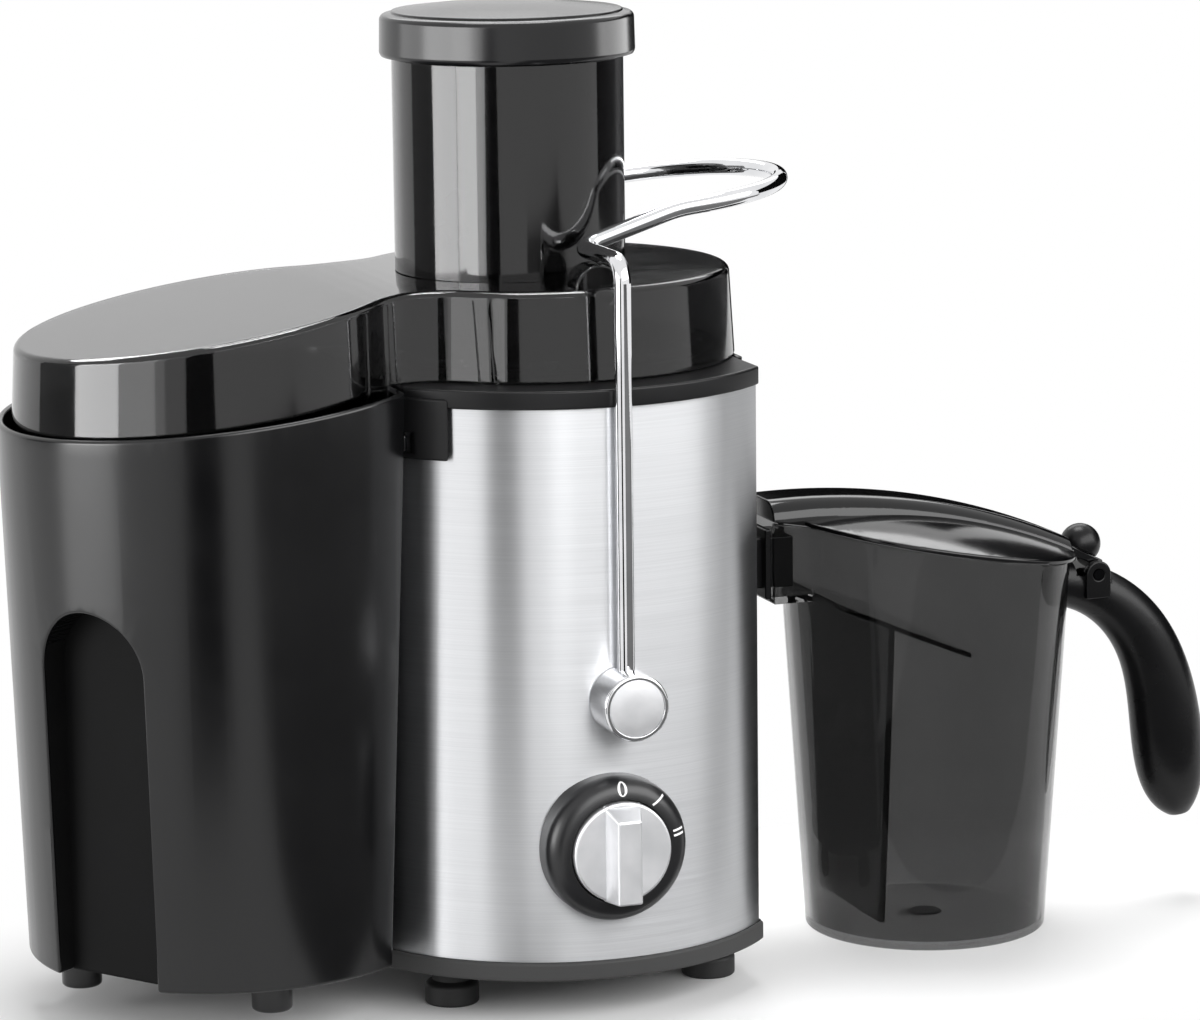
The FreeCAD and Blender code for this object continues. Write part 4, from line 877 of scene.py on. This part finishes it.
@dataclass
class Pusher:
    """The pusher: a plain tube under a satin cap with a domed top."""

    axis_x: float = -10.0
    radius: float = 44.6
    low: float = 327.4
    shoulder: float = 341.9
    top: float = 345.9
    dome: tuple[float, float] = (0.45, 0.7)  # where the dome bends: share of the radius, drop from the top
    step: tuple[float, float] = (0.9, 1.0)  # the dome's edge: share of the radius, rise over the shoulder
    ledge: tuple[float, float] = (0.907, 0.3)  # the ledge round it, likewise
    shoulder_in: float = 0.3
    shoulder_drop: float = 0.4
    foot_rise: float = 1.0
    foot_in: float = 0.6

    def build(self) -> None:
        """Build and dress the pusher."""
        ease_nodes({"pusher_tube": 0.8}, PUSHER_PP, Body.PUSHER)
        add_piece("pusher_cap_turned", self.cap(), CAP_ABS, Body.PUSHER, ["pusher_cap"])

    def cap(self) -> BMesh:
        """Turn the cap, with a straight side, a crisp shoulder and a step round its dome.

        Returns:
            The cap.
        """
        brim = self.radius
        shape = turned([
            Corner(0.0, self.top),
            Corner(brim * self.dome[0], self.top - self.dome[1], 8.0),
            Corner(brim * self.step[0], self.shoulder + self.step[1], 0.3),
            Corner(brim * self.ledge[0], self.shoulder + self.ledge[1]),
            Corner(brim - self.shoulder_in, self.shoulder - self.shoulder_drop, 1.6),
            Corner(brim, self.low + self.foot_rise, 0.6),
            Corner(brim - self.foot_in, self.low),
            Corner(0.0, self.low)])
        return moved(shape, self.axis_x)


@dataclass
class Bail:
    """The chromed bail with its two pivot drums."""

    pivot_z: float = 113.5
    drum_r: float = 11.6
    drum_back: float = 81.9
    drum_face: float = 98.0
    rim: float = 1.7
    rim_drop: float = 0.3  # of the rim behind the drum's face
    seat_drop: float = 1.2
    disc_gap: float = 0.1
    disc_bend: tuple[float, float] = (0.6, 0.15)  # where the disc's dome bends: share of its radius, drop
    disc_edge_drop: float = 0.5
    disc_back_drop: float = 1.3

    def build(self) -> None:
        """Build and dress the drums and their discs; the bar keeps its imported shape."""
        for name, turn in (("bail_hub_front", 0.0), ("bail_hub_rear", math.pi)):
            add_piece(name + "_drum", self.seated(self.drum(), turn), CHROME, Body.BAIL, [name])
            add_piece(name + "_disc", self.seated(self.disc(), turn), SATIN_CHROME, Body.BAIL)

    def seated(self, shape: BMesh, turn: float) -> BMesh:
        """Lay a turned shape on the pivot's axis.

        Args:
            shape: the shape, which is changed.
            turn: nothing for the front, half a turn for the rear.

        Returns:
            The same shape.
        """
        towards_front(shape, 0.0, self.pivot_z)
        bmesh.ops.rotate(shape, cent=ORIGIN, matrix=Matrix.Rotation(turn, 3, "Z"), verts=shape.verts)
        return shape

    def drum(self) -> BMesh:
        """Turn one drum: a soft rim round a sunk seat.

        Returns:
            The drum, along Z.
        """
        seat_r = self.drum_r - self.rim
        seat, rim = self.drum_face - self.seat_drop, self.drum_face - self.rim_drop
        return turned([
            Corner(0.0, seat), Corner(seat_r, seat), Corner(seat_r, rim, 0.25), Corner(self.drum_r, rim, 1.1),
            Corner(self.drum_r, self.drum_back, 0.5), Corner(0.0, self.drum_back)])

    def disc(self) -> BMesh:
        """Turn the slightly domed disc that fills a drum's seat.

        Returns:
            The disc, along Z.
        """
        edge = self.drum_r - self.rim - self.disc_gap
        back = self.drum_face - self.disc_back_drop
        return turned([
            Corner(0.0, self.drum_face),
            Corner(edge * self.disc_bend[0], self.drum_face - self.disc_bend[1], 1.5),
            Corner(edge, self.drum_face - self.disc_edge_drop, 0.2), Corner(edge, back), Corner(0.0, back)])


@dataclass
class Dial:
    """The speed dial: a soft bezel with printed marks, and a silver knob with a grip bar."""

    x: float = -4.0
    z: float = 62.7
    bezel_r: float = 25.4
    bezel_back: float = 79.0
    bezel_face: float = 91.5
    bezel_round: float = 6.8
    well_r: float = 18.1
    well_floor: float = 86.0
    mark_r: float = 21.5
    mark_turns: tuple[float, float, float] = (2.0, 40.0, 77.0)
    mark_tilts: tuple[float, float, float] = (0.0, -20.0, -4.0)  # of each mark about its own middle
    print_from: float = -120.0  # in front of the bezel, from where the marks are laid on it
    print_t: float = 0.05
    zero_r: float = 2.4
    zero_wide: float = 0.72  # share of its height
    zero_hollow: tuple[float, float] = (0.46, 0.84)  # shares of its width and height
    zero_steps: int = 48
    stroke_wide: float = 0.75
    stroke_longs: tuple[float, float] = (5.4, 4.0)  # of the single stroke and of the pair
    stroke_apart: float = 0.85  # from the pair's middle to each
    knob_r: float = 17.5
    knob_low: float = 86.4
    knob_face: float = 93.5
    grip_foot: float = 14.0
    grip_ridge: float = 8.4
    grip_out: float = 7.0
    grip_sunk: float = 2.0
    grip_short: float = 1.2  # less than the knob's width
    grip_slant: float = 4.6
    grip_edge: float = 0.7

    def build(self) -> None:
        """Build and dress the dial."""
        bezel = self.bezel()
        self.marks(BVHTree.FromBMesh(bezel))
        add_piece("dial_bezel_turned", bezel, BEZEL_ABS, Body.BASE, ["dial_bezel"])
        add_piece("dial_knob_turned", self.knob(), SATIN_CHROME, Body.DIAL, ["dial_knob"])

    def bezel(self) -> BMesh:
        """Turn the bezel: one soft curve from the steel to the well that the knob sits in.

        Returns:
            The bezel, in its place.
        """
        shape = turned([
            Corner(0.0, self.well_floor), Corner(self.well_r, self.well_floor),
            Corner(self.well_r, self.bezel_face, 0.3), Corner(self.bezel_r, self.bezel_face, self.bezel_round),
            Corner(self.bezel_r, self.bezel_back), Corner(0.0, self.bezel_back)])
        return towards_front(shape, self.x, self.z)

    def knob(self) -> BMesh:
        """Turn the knob's disc and set its grip across it, with a slanted upper end.

        Returns:
            The knob, in its place.
        """
        disc = turned([
            Corner(0.0, self.knob_face), Corner(self.knob_r, self.knob_face, 0.9),
            Corner(self.knob_r, self.knob_low, 0.4), Corner(0.0, self.knob_low)])
        bar = bmesh.new()
        bmesh.ops.create_cube(bar, size=1.0)
        length = self.knob_r * 2.0 - self.grip_short
        bmesh.ops.scale(bar, vec=(self.grip_foot, self.grip_out + self.grip_sunk, length), verts=bar.verts)
        ridge = [vert for vert in bar.verts if vert.co.y < 0.0]
        bmesh.ops.scale(bar, vec=(self.grip_ridge / self.grip_foot, 1.0, 1.0), verts=ridge)
        upper = [vert for vert in ridge if vert.co.z > 0.0]
        bmesh.ops.translate(bar, vec=(0.0, 0.0, -self.grip_slant), verts=upper)
        middle_y = self.grip_sunk / 2.0 - self.knob_face - self.grip_out / 2.0
        bmesh.ops.translate(bar, vec=(self.x, middle_y, self.z), verts=bar.verts)
        return joined(towards_front(disc, self.x, self.z), eased(bar, self.grip_edge))

    def marks(self, bezel: BVHTree) -> None:
        """Print 0, one stroke and two strokes on the bezel, on its own curve.

        Args:
            bezel: the bezel's surface, to lay the print on.
        """
        single, pair = self.stroke_longs
        two = joined(self.stroke(-self.stroke_apart, pair), self.stroke(self.stroke_apart, pair))
        shapes = {"zero": self.zero(), "one": self.stroke(0.0, single), "two": two}
        for (name, shape), turn, tilt in zip(shapes.items(), self.mark_turns, self.mark_tilts):
            bmesh.ops.rotate(shape, cent=ORIGIN, matrix=Matrix.Rotation(math.radians(tilt), 3, "Z"),
                             verts=shape.verts)
            middle = Matrix.Translation((self.x, self.print_from, self.z))
            lay = (middle @ Matrix.Rotation(math.radians(turn), 4, "Y")
                   @ Matrix.Translation((0.0, 0.0, self.mark_r)) @ Matrix.Rotation(QUARTER_TURN, 4, "X"))
            bmesh.ops.transform(shape, matrix=lay, verts=shape.verts)
            for vert in shape.verts:
                vert.co.y = bezel.ray_cast(vert.co, Vector((0.0, 1.0, 0.0)))[0].y - self.print_t
            add_piece("dial_mark_" + name, shape, MARK_INK, Body.BASE)

    def zero(self) -> BMesh:
        """Draw the 0, thick at its sides and thin at its ends.

        Returns:
            The flat mark, about the origin.
        """
        shape = bmesh.new()
        bmesh.ops.create_circle(shape, cap_ends=False, radius=self.zero_r, segments=self.zero_steps)
        bmesh.ops.scale(shape, vec=(self.zero_wide, 1.0, 1.0), verts=shape.verts)
        inner = verts_of(bmesh.ops.extrude_edge_only(shape, edges=shape.edges[:])["geom"])
        bmesh.ops.scale(shape, vec=(*self.zero_hollow, 1.0), verts=inner)
        return shape

    def stroke(self, offset: float, length: float) -> BMesh:
        """Draw one stroke of a mark.

        Args:
            offset: how far it is set off sideways, mm.
            length: its length, mm.

        Returns:
            The flat stroke.
        """
        shape = bmesh.new()
        bmesh.ops.create_grid(shape, x_segments=2, y_segments=12, size=0.5)
        bmesh.ops.scale(shape, vec=(self.stroke_wide, length, 1.0), verts=shape.verts)
        return moved(shape, offset)


@dataclass
class Jug:
    """The smoked jug with its foam separator, handle, domed lid and thumb ball."""

    axis_x: float = 148.0
    shelf_end: float = 145.0
    floor_top: float = 3.1
    level: float = 0.9  # upright share of its normal, above which a face is level
    gate_r: float = 6.4
    gate_rise: tuple[float, float] = (0.7, 0.6)  # at its middle and where its edge starts
    gate_edge: float = 1.2
    gate_steps: int = 48

    def build(self) -> None:
        """Build and dress the jug."""
        body = add_piece("jug_moulding", softened("jug", 0.6), SMOKED_JUG, Body.JUG, ["jug"])
        # The jug's level floor faces take the paler smoke: painted light that brightens the floor
        body.data.materials.append(PAINTED_LIGHT_SMOKE.material())
        for face in body.data.polygons:
            low = face.center.z < self.floor_top * MM
            face.material_index = int(low and abs(face.normal.z) > self.level)
        add_piece("jug_gate_mark", self.gate_mark(), HANDLE_ABS, Body.JUG)
        add_piece("foam_separator_moulding", self.separator(), SMOKED_JUG, Body.JUG, ["foam_separator"])
        ease_nodes({"jug_handle": 0.7}, HANDLE_ABS, Body.JUG)
        ease_nodes({"jug_lid": 0.6}, GLOSS_ABS, Body.JUG_LID)
        ease_nodes({"thumb_ball": 0.3}, HANDLE_ABS, Body.JUG_LID)

    def gate_mark(self) -> BMesh:
        """Turn the low disc that the mould's gate leaves on the jug's floor.

        Returns:
            The disc, in its place.
        """
        shape = turned([
            Corner(0.0, self.floor_top + self.gate_rise[0]),
            Corner(self.gate_r - self.gate_edge, self.floor_top + self.gate_rise[1], 0.4),
            Corner(self.gate_r, self.floor_top), Corner(0.0, self.floor_top)], self.gate_steps)
        return moved(shape, self.axis_x)

    def separator(self) -> BMesh:
        """Copy the separator and cut its shelf to length.

        Returns:
            The closed copy, about the drive axis.
        """
        shape = softened("foam_separator", 0.4)
        ends = sliced(shape, (self.shelf_end, 0.0, 0.0), ALONG_X, clear=True)
        bmesh.ops.edgeloop_fill(shape, edges=ends)
        bmesh.ops.recalc_face_normals(shape, faces=shape.faces)
        return shape


AIM = (0.0, 0.0, 180.0)  # what the camera, lamps and cards face, mm about the drive axis


@dataclass(frozen=True)
class Stand:
    """A place round the object, for a lamp or a card that faces it."""

    turn: float  # degrees round from straight in front, to the right
    rise: float  # degrees above the floor
    away: float  # distance, mm

    def place(self) -> Matrix:
        """Find the place and the turn of what stands there.

        Returns:
            What puts a thing drawn in mm there.
        """
        azimuth, height = math.radians(self.turn), math.radians(self.rise)
        level = math.cos(height)
        out = Vector((math.sin(azimuth) * level, -math.cos(azimuth) * level, math.sin(height)))
        return (TO_FRAME @ Matrix.Translation(Vector(AIM) + out * self.away)
                @ out.to_track_quat("Z", "Y").to_matrix().to_4x4())


@dataclass(frozen=True)
class Spot:
    """A place about the drive axis, for a card that faces up, mm."""

    x: float
    y: float
    z: float

    def place(self) -> Matrix:
        """Return what puts a thing drawn in mm there."""
        return TO_FRAME @ Matrix.Translation((self.x, self.y, self.z))


@dataclass(frozen=True)
class Reach:
    """How far a soft box's light reaches, as flags beside it would set."""

    only: tuple[str, ...] = ()  # the pieces that it lights, where not all
    past: tuple[str, ...] = ()  # pieces that it leaves out
    through: tuple[str, ...] = ()  # clear pieces that cast no shadow in it

    def flagged(self, name: str, kept: Sequence[str],
                left_out: Sequence[str]) -> bpy.types.Collection | None:
        """Gather pieces to keep and to leave out.

        Args:
            name: the new collection's name.
            kept: pieces to keep.
            left_out: pieces to leave out.

        Returns:
            The collection, or None where nothing is flagged.
        """
        if not kept and not left_out:
            return None
        group = bpy.data.collections.new(name)
        for piece in (*kept, *left_out):
            group.objects.link(bpy.data.objects[piece])
        for entry, piece in zip(group.collection_objects, group.objects):
            entry.light_linking.link_state = "EXCLUDE" if piece.name in left_out else "INCLUDE"
        return group


@dataclass(frozen=True)
class SoftBox:
    """A soft box: where it hangs, its width and height in mm, its watts and its reach."""

    name: str
    stand: Stand
    size: tuple[float, float]
    power: float
    reach: Reach = Reach()


@dataclass(frozen=True)
class Card:
    """A dull card: where it stands, its width and height in mm, and its grey."""

    name: str
    stand: Stand | Spot
    size: tuple[float, float]
    tone: str
    taper: float = 1.0  # its width at the top, as a share of its width


CLEAR = ("jug_moulding", "foam_separator_moulding")
GLOSSY_TOP = ("smoked_lid", "smoked_chute", "pusher_cap_turned")
CHUTE_ONLY = Reach(only=("smoked_chute", "pusher_cap_turned"))
LID_ONLY = Reach(only=("smoked_lid",))
CAP_ONLY = Reach(only=("pusher_cap_turned",))
LEFT_HIGH = Stand(-60.0, 5.5, 1500.0)
DARK_GREY = "0a0a0a"

SOFT_BOXES = (
    SoftBox("left", Stand(-84.0, 5.5, 1500.0), (730.0, 700.0), 11.5, Reach(through=CLEAR)),
    SoftBox("front_left", Stand(-57.0, 5.5, 1500.0), (660.0, 700.0), 1.0, Reach(through=CLEAR)),
    SoftBox("top", Stand(161.0, 74.0, 1900.0), (1000.0, 800.0), 20.0),
    SoftBox("front", Stand(28.0, 28.0, 1700.0), (2800.0, 1100.0), 38.0, Reach(past=GLOSSY_TOP, through=CLEAR)),
    SoftBox("back", Stand(161.0, 36.0, 1900.0), (1500.0, 600.0), 7.0),
    SoftBox("bin", Stand(-84.0, -2.9, 600.0), (290.0, 300.0), 0.5, Reach(only=("pulp_bin_moulding",))),
    SoftBox("chute", LEFT_HIGH, (529.0, 700.0), 8.5, CHUTE_ONLY),
    SoftBox("chute_fade", Stand(-44.5, 5.5, 1500.0), (289.0, 700.0), 1.9, CHUTE_ONLY),
    SoftBox("lid", LEFT_HIGH, (529.0, 700.0), 1.5, LID_ONLY),
    SoftBox("lid_edge", Stand(0.0, 82.0, 1900.0), (1000.0, 500.0), 28.0, LID_ONLY),
    SoftBox("lid_rear", Stand(-149.0, 47.0, 1900.0), (1300.0, 500.0), 28.0, LID_ONLY),
    SoftBox("cap_right", Stand(95.0, 5.5, 1500.0), (1400.0, 700.0), 12.0, CAP_ONLY),
    SoftBox("cap_left", Stand(-113.0, 5.5, 1500.0), (800.0, 700.0), 5.3, CAP_ONLY),
)

CARDS = (
    Card("dark_card_near", Stand(-35.5, -3.0, 440.0), (150.0, 366.0), DARK_GREY, taper=0.5),
    Card("dark_card_right", Stand(111.0, 8.0, 1800.0), (2200.0, 1300.0), DARK_GREY),
    Card("dark_card_left", Stand(-113.0, 4.0, 1700.0), (900.0, 900.0), "707070"),
    Card("dark_card_back", Stand(156.6, 4.5, 900.0), (100.0, 290.0), DARK_GREY),
    Card("dark_card_jug", Stand(147.6, 3.3, 925.0), (210.0, 467.0), DARK_GREY),
    Card("grey_card_floor", Spot(550.0, -1100.0, 1.0), (1240.0, 2010.0), "606060"),
)


@dataclass
class Studio:
    """A white sweep, soft boxes and dark cards, and the camera at the photograph's place."""

    camera_turn: float = 19.0  # degrees round to the front left
    camera_away: float = 1700.0
    camera_high: float = 485.0
    lens: float = 146.4
    sensor: float = 36.0
    roll: float = 0.8
    shift: tuple[float, float] = (0.05, -0.035)
    sight: float = 100.0  # how far the camera sees, m
    floor_half: float = 9000.0
    shadow_half: tuple[float, float] = (225.0, 105.0)  # half sizes of the oval that the shadow keeps to, mm
    shadow_fade: float = 1.5  # times the oval's size at which the shadow is gone
    paper: str = "eaeaea"
    fill: float = 0.4

    def build(self) -> None:
        """Set up floor, light and camera."""
        self.camera()
        self.floor()
        self.world()
        for box in SOFT_BOXES:
            self.hang(box)
        for card in CARDS:
            self.stand(card)
        bpy.context.scene.view_settings.view_transform = "Standard"

    def camera(self) -> None:
        """Put the camera at the photograph's viewpoint."""
        turn = math.radians(self.camera_turn)
        eye = Vector((-math.sin(turn) * self.camera_away, -math.cos(turn) * self.camera_away,
                      self.camera_high))
        data = bpy.data.cameras.new("Camera")
        data.sensor_fit = "HORIZONTAL"
        data.sensor_width = self.sensor
        data.lens = self.lens
        data.shift_x, data.shift_y = self.shift
        data.clip_end = self.sight
        camera = bpy.data.objects.new("Camera", data)
        bpy.context.scene.collection.objects.link(camera)
        look = (Vector(AIM) - eye).to_track_quat("-Z", "Y").to_matrix().to_4x4()
        camera.matrix_world = (Matrix.Translation(TO_FRAME @ eye) @ look
                               @ Matrix.Rotation(math.radians(-self.roll), 4, "Z"))
        bpy.context.scene.camera = camera

    def floor(self) -> None:
        """Lay a white floor that keeps the object's shadow and goes over into plain white beyond it."""
        material = bpy.data.materials.new("white_paper_sweep")
        material.use_nodes = True
        tree = material.node_tree
        tree.nodes.clear()
        place = add_node(tree, "ShaderNodeTexCoord")
        oval = add_node(tree, "ShaderNodeMapping", sockets={
            "Vector": place.outputs["Object"],
            "Scale": (1.0 / (self.shadow_half[0] * MM), 1.0 / (self.shadow_half[1] * MM), 1.0)})
        away = add_node(tree, "ShaderNodeVectorMath", {"operation": "LENGTH"}, {0: oval.outputs["Vector"]})
        beyond = add_node(tree, "ShaderNodeMapRange", {"interpolation_type": "SMOOTHSTEP"}, {
            "Value": away.outputs["Value"], "From Min": 1.0, "From Max": self.shadow_fade})
        seen = add_node(tree, "ShaderNodeMath", {"operation": "MULTIPLY"}, {
            0: beyond.outputs["Result"], 1: self.looked_at(tree)})
        paper = add_node(tree, "ShaderNodeBsdfDiffuse", sockets={"Color": linear(self.paper)})
        white = add_node(tree, "ShaderNodeEmission", sockets={"Color": linear(WHITE), "Strength": 1.0})
        both = add_node(tree, "ShaderNodeMixShader", sockets={
            0: seen.outputs[0], 1: paper.outputs[0], 2: white.outputs[0]})
        add_node(tree, "ShaderNodeOutputMaterial", sockets={"Surface": both.outputs[0]})
        grid = bmesh.new()
        bmesh.ops.create_grid(grid, x_segments=1, y_segments=1, size=self.floor_half * MM)
        self.prop("floor", grid, material)

    def looked_at(self, tree: bpy.types.NodeTree) -> bpy.types.NodeSocket:
        """Tell what the camera sees, also in metal and through clear plastic, from soft light.

        Args:
            tree: the node tree to add to.

        Returns:
            An output of 1 for what is seen and 0 for soft light.
        """
        ray = add_node(tree, "ShaderNodeLightPath")
        mirrored = add_node(tree, "ShaderNodeMath", {"operation": "MAXIMUM"}, {
            0: ray.outputs["Is Glossy Ray"], 1: ray.outputs["Is Transmission Ray"]})
        return add_node(tree, "ShaderNodeMath", {"operation": "MAXIMUM"}, {
            0: ray.outputs["Is Camera Ray"], 1: mirrored.outputs[0]}).outputs[0]

    def world(self) -> None:
        """Surround the scene with white for what is looked at, and soft light for the rest."""
        world = bpy.data.worlds.new("studio")
        bpy.context.scene.world = world
        world.use_nodes = True
        tree = world.node_tree
        tree.nodes.clear()
        strength = add_node(tree, "ShaderNodeMapRange", sockets={
            "Value": self.looked_at(tree), "To Min": self.fill, "To Max": 1.0})
        white = add_node(tree, "ShaderNodeBackground", sockets={
            "Color": linear(WHITE), "Strength": strength.outputs["Result"]})
        add_node(tree, "ShaderNodeOutputWorld", sockets={"Surface": white.outputs["Background"]})

    def hang(self, box: SoftBox) -> None:
        """Hang one soft box.

        Args:
            box: the soft box.
        """
        name, reach = "soft_box_" + box.name, box.reach
        data = bpy.data.lights.new(name, "AREA")
        data.shape = "RECTANGLE"
        data.size, data.size_y = box.size[0] * MM, box.size[1] * MM
        data.energy = box.power
        lamp = bpy.data.objects.new(name, data)
        lamp.matrix_world = box.stand.place().normalized()
        bpy.context.scene.collection.objects.link(lamp)
        lamp.light_linking.receiver_collection = reach.flagged(name + "_lit", reach.only, reach.past)
        lamp.light_linking.blocker_collection = reach.flagged(name + "_blocked", (), reach.through)

    def stand(self, card: Card) -> None:
        """Stand one dull card, which only reflections see.

        Args:
            card: the card.
        """
        felt = MouldedPlastic(card.name + "_felt", card.tone, card.tone, (0.9, 1.0), ior=1.0).material()
        grid = bmesh.new()
        bmesh.ops.create_grid(grid, x_segments=1, y_segments=1, size=0.5)
        top = [vert for vert in grid.verts if vert.co.y > 0.0]
        bmesh.ops.scale(grid, vec=(card.taper, 1.0, 1.0), verts=top)
        bmesh.ops.scale(grid, vec=(*card.size, 1.0), verts=grid.verts)
        bmesh.ops.transform(grid, matrix=card.stand.place(), verts=grid.verts)
        thing = self.prop(card.name, grid, felt)
        thing.visible_camera = False
        thing.visible_diffuse = False
        thing.visible_transmission = False
        thing.visible_shadow = False

    def prop(self, name: str, shape: BMesh, material: bpy.types.Material) -> bpy.types.Object:
        """Add a thing that belongs to the studio and not to the object.

        Args:
            name: its name.
            shape: its shape in metres, which is freed.
            material: its material.

        Returns:
            The thing.
        """
        mesh = as_mesh(shape, name)
        mesh.materials.append(material)
        thing = bpy.data.objects.new(name, mesh)
        bpy.context.scene.collection.objects.link(thing)
        return thing


def main() -> None:
    """Build every sub-assembly, in order, and the studio round them."""
    logging.basicConfig(level=logging.INFO, format="%(message)s")
    dress_nodes()
    for assembly in (MotorBase(), PulpBin(), SmokedLid(), Pusher(), Bail(), Dial(), Jug()):
        assembly.build()
    Studio().build()


if __name__ == "__main__":
    main()
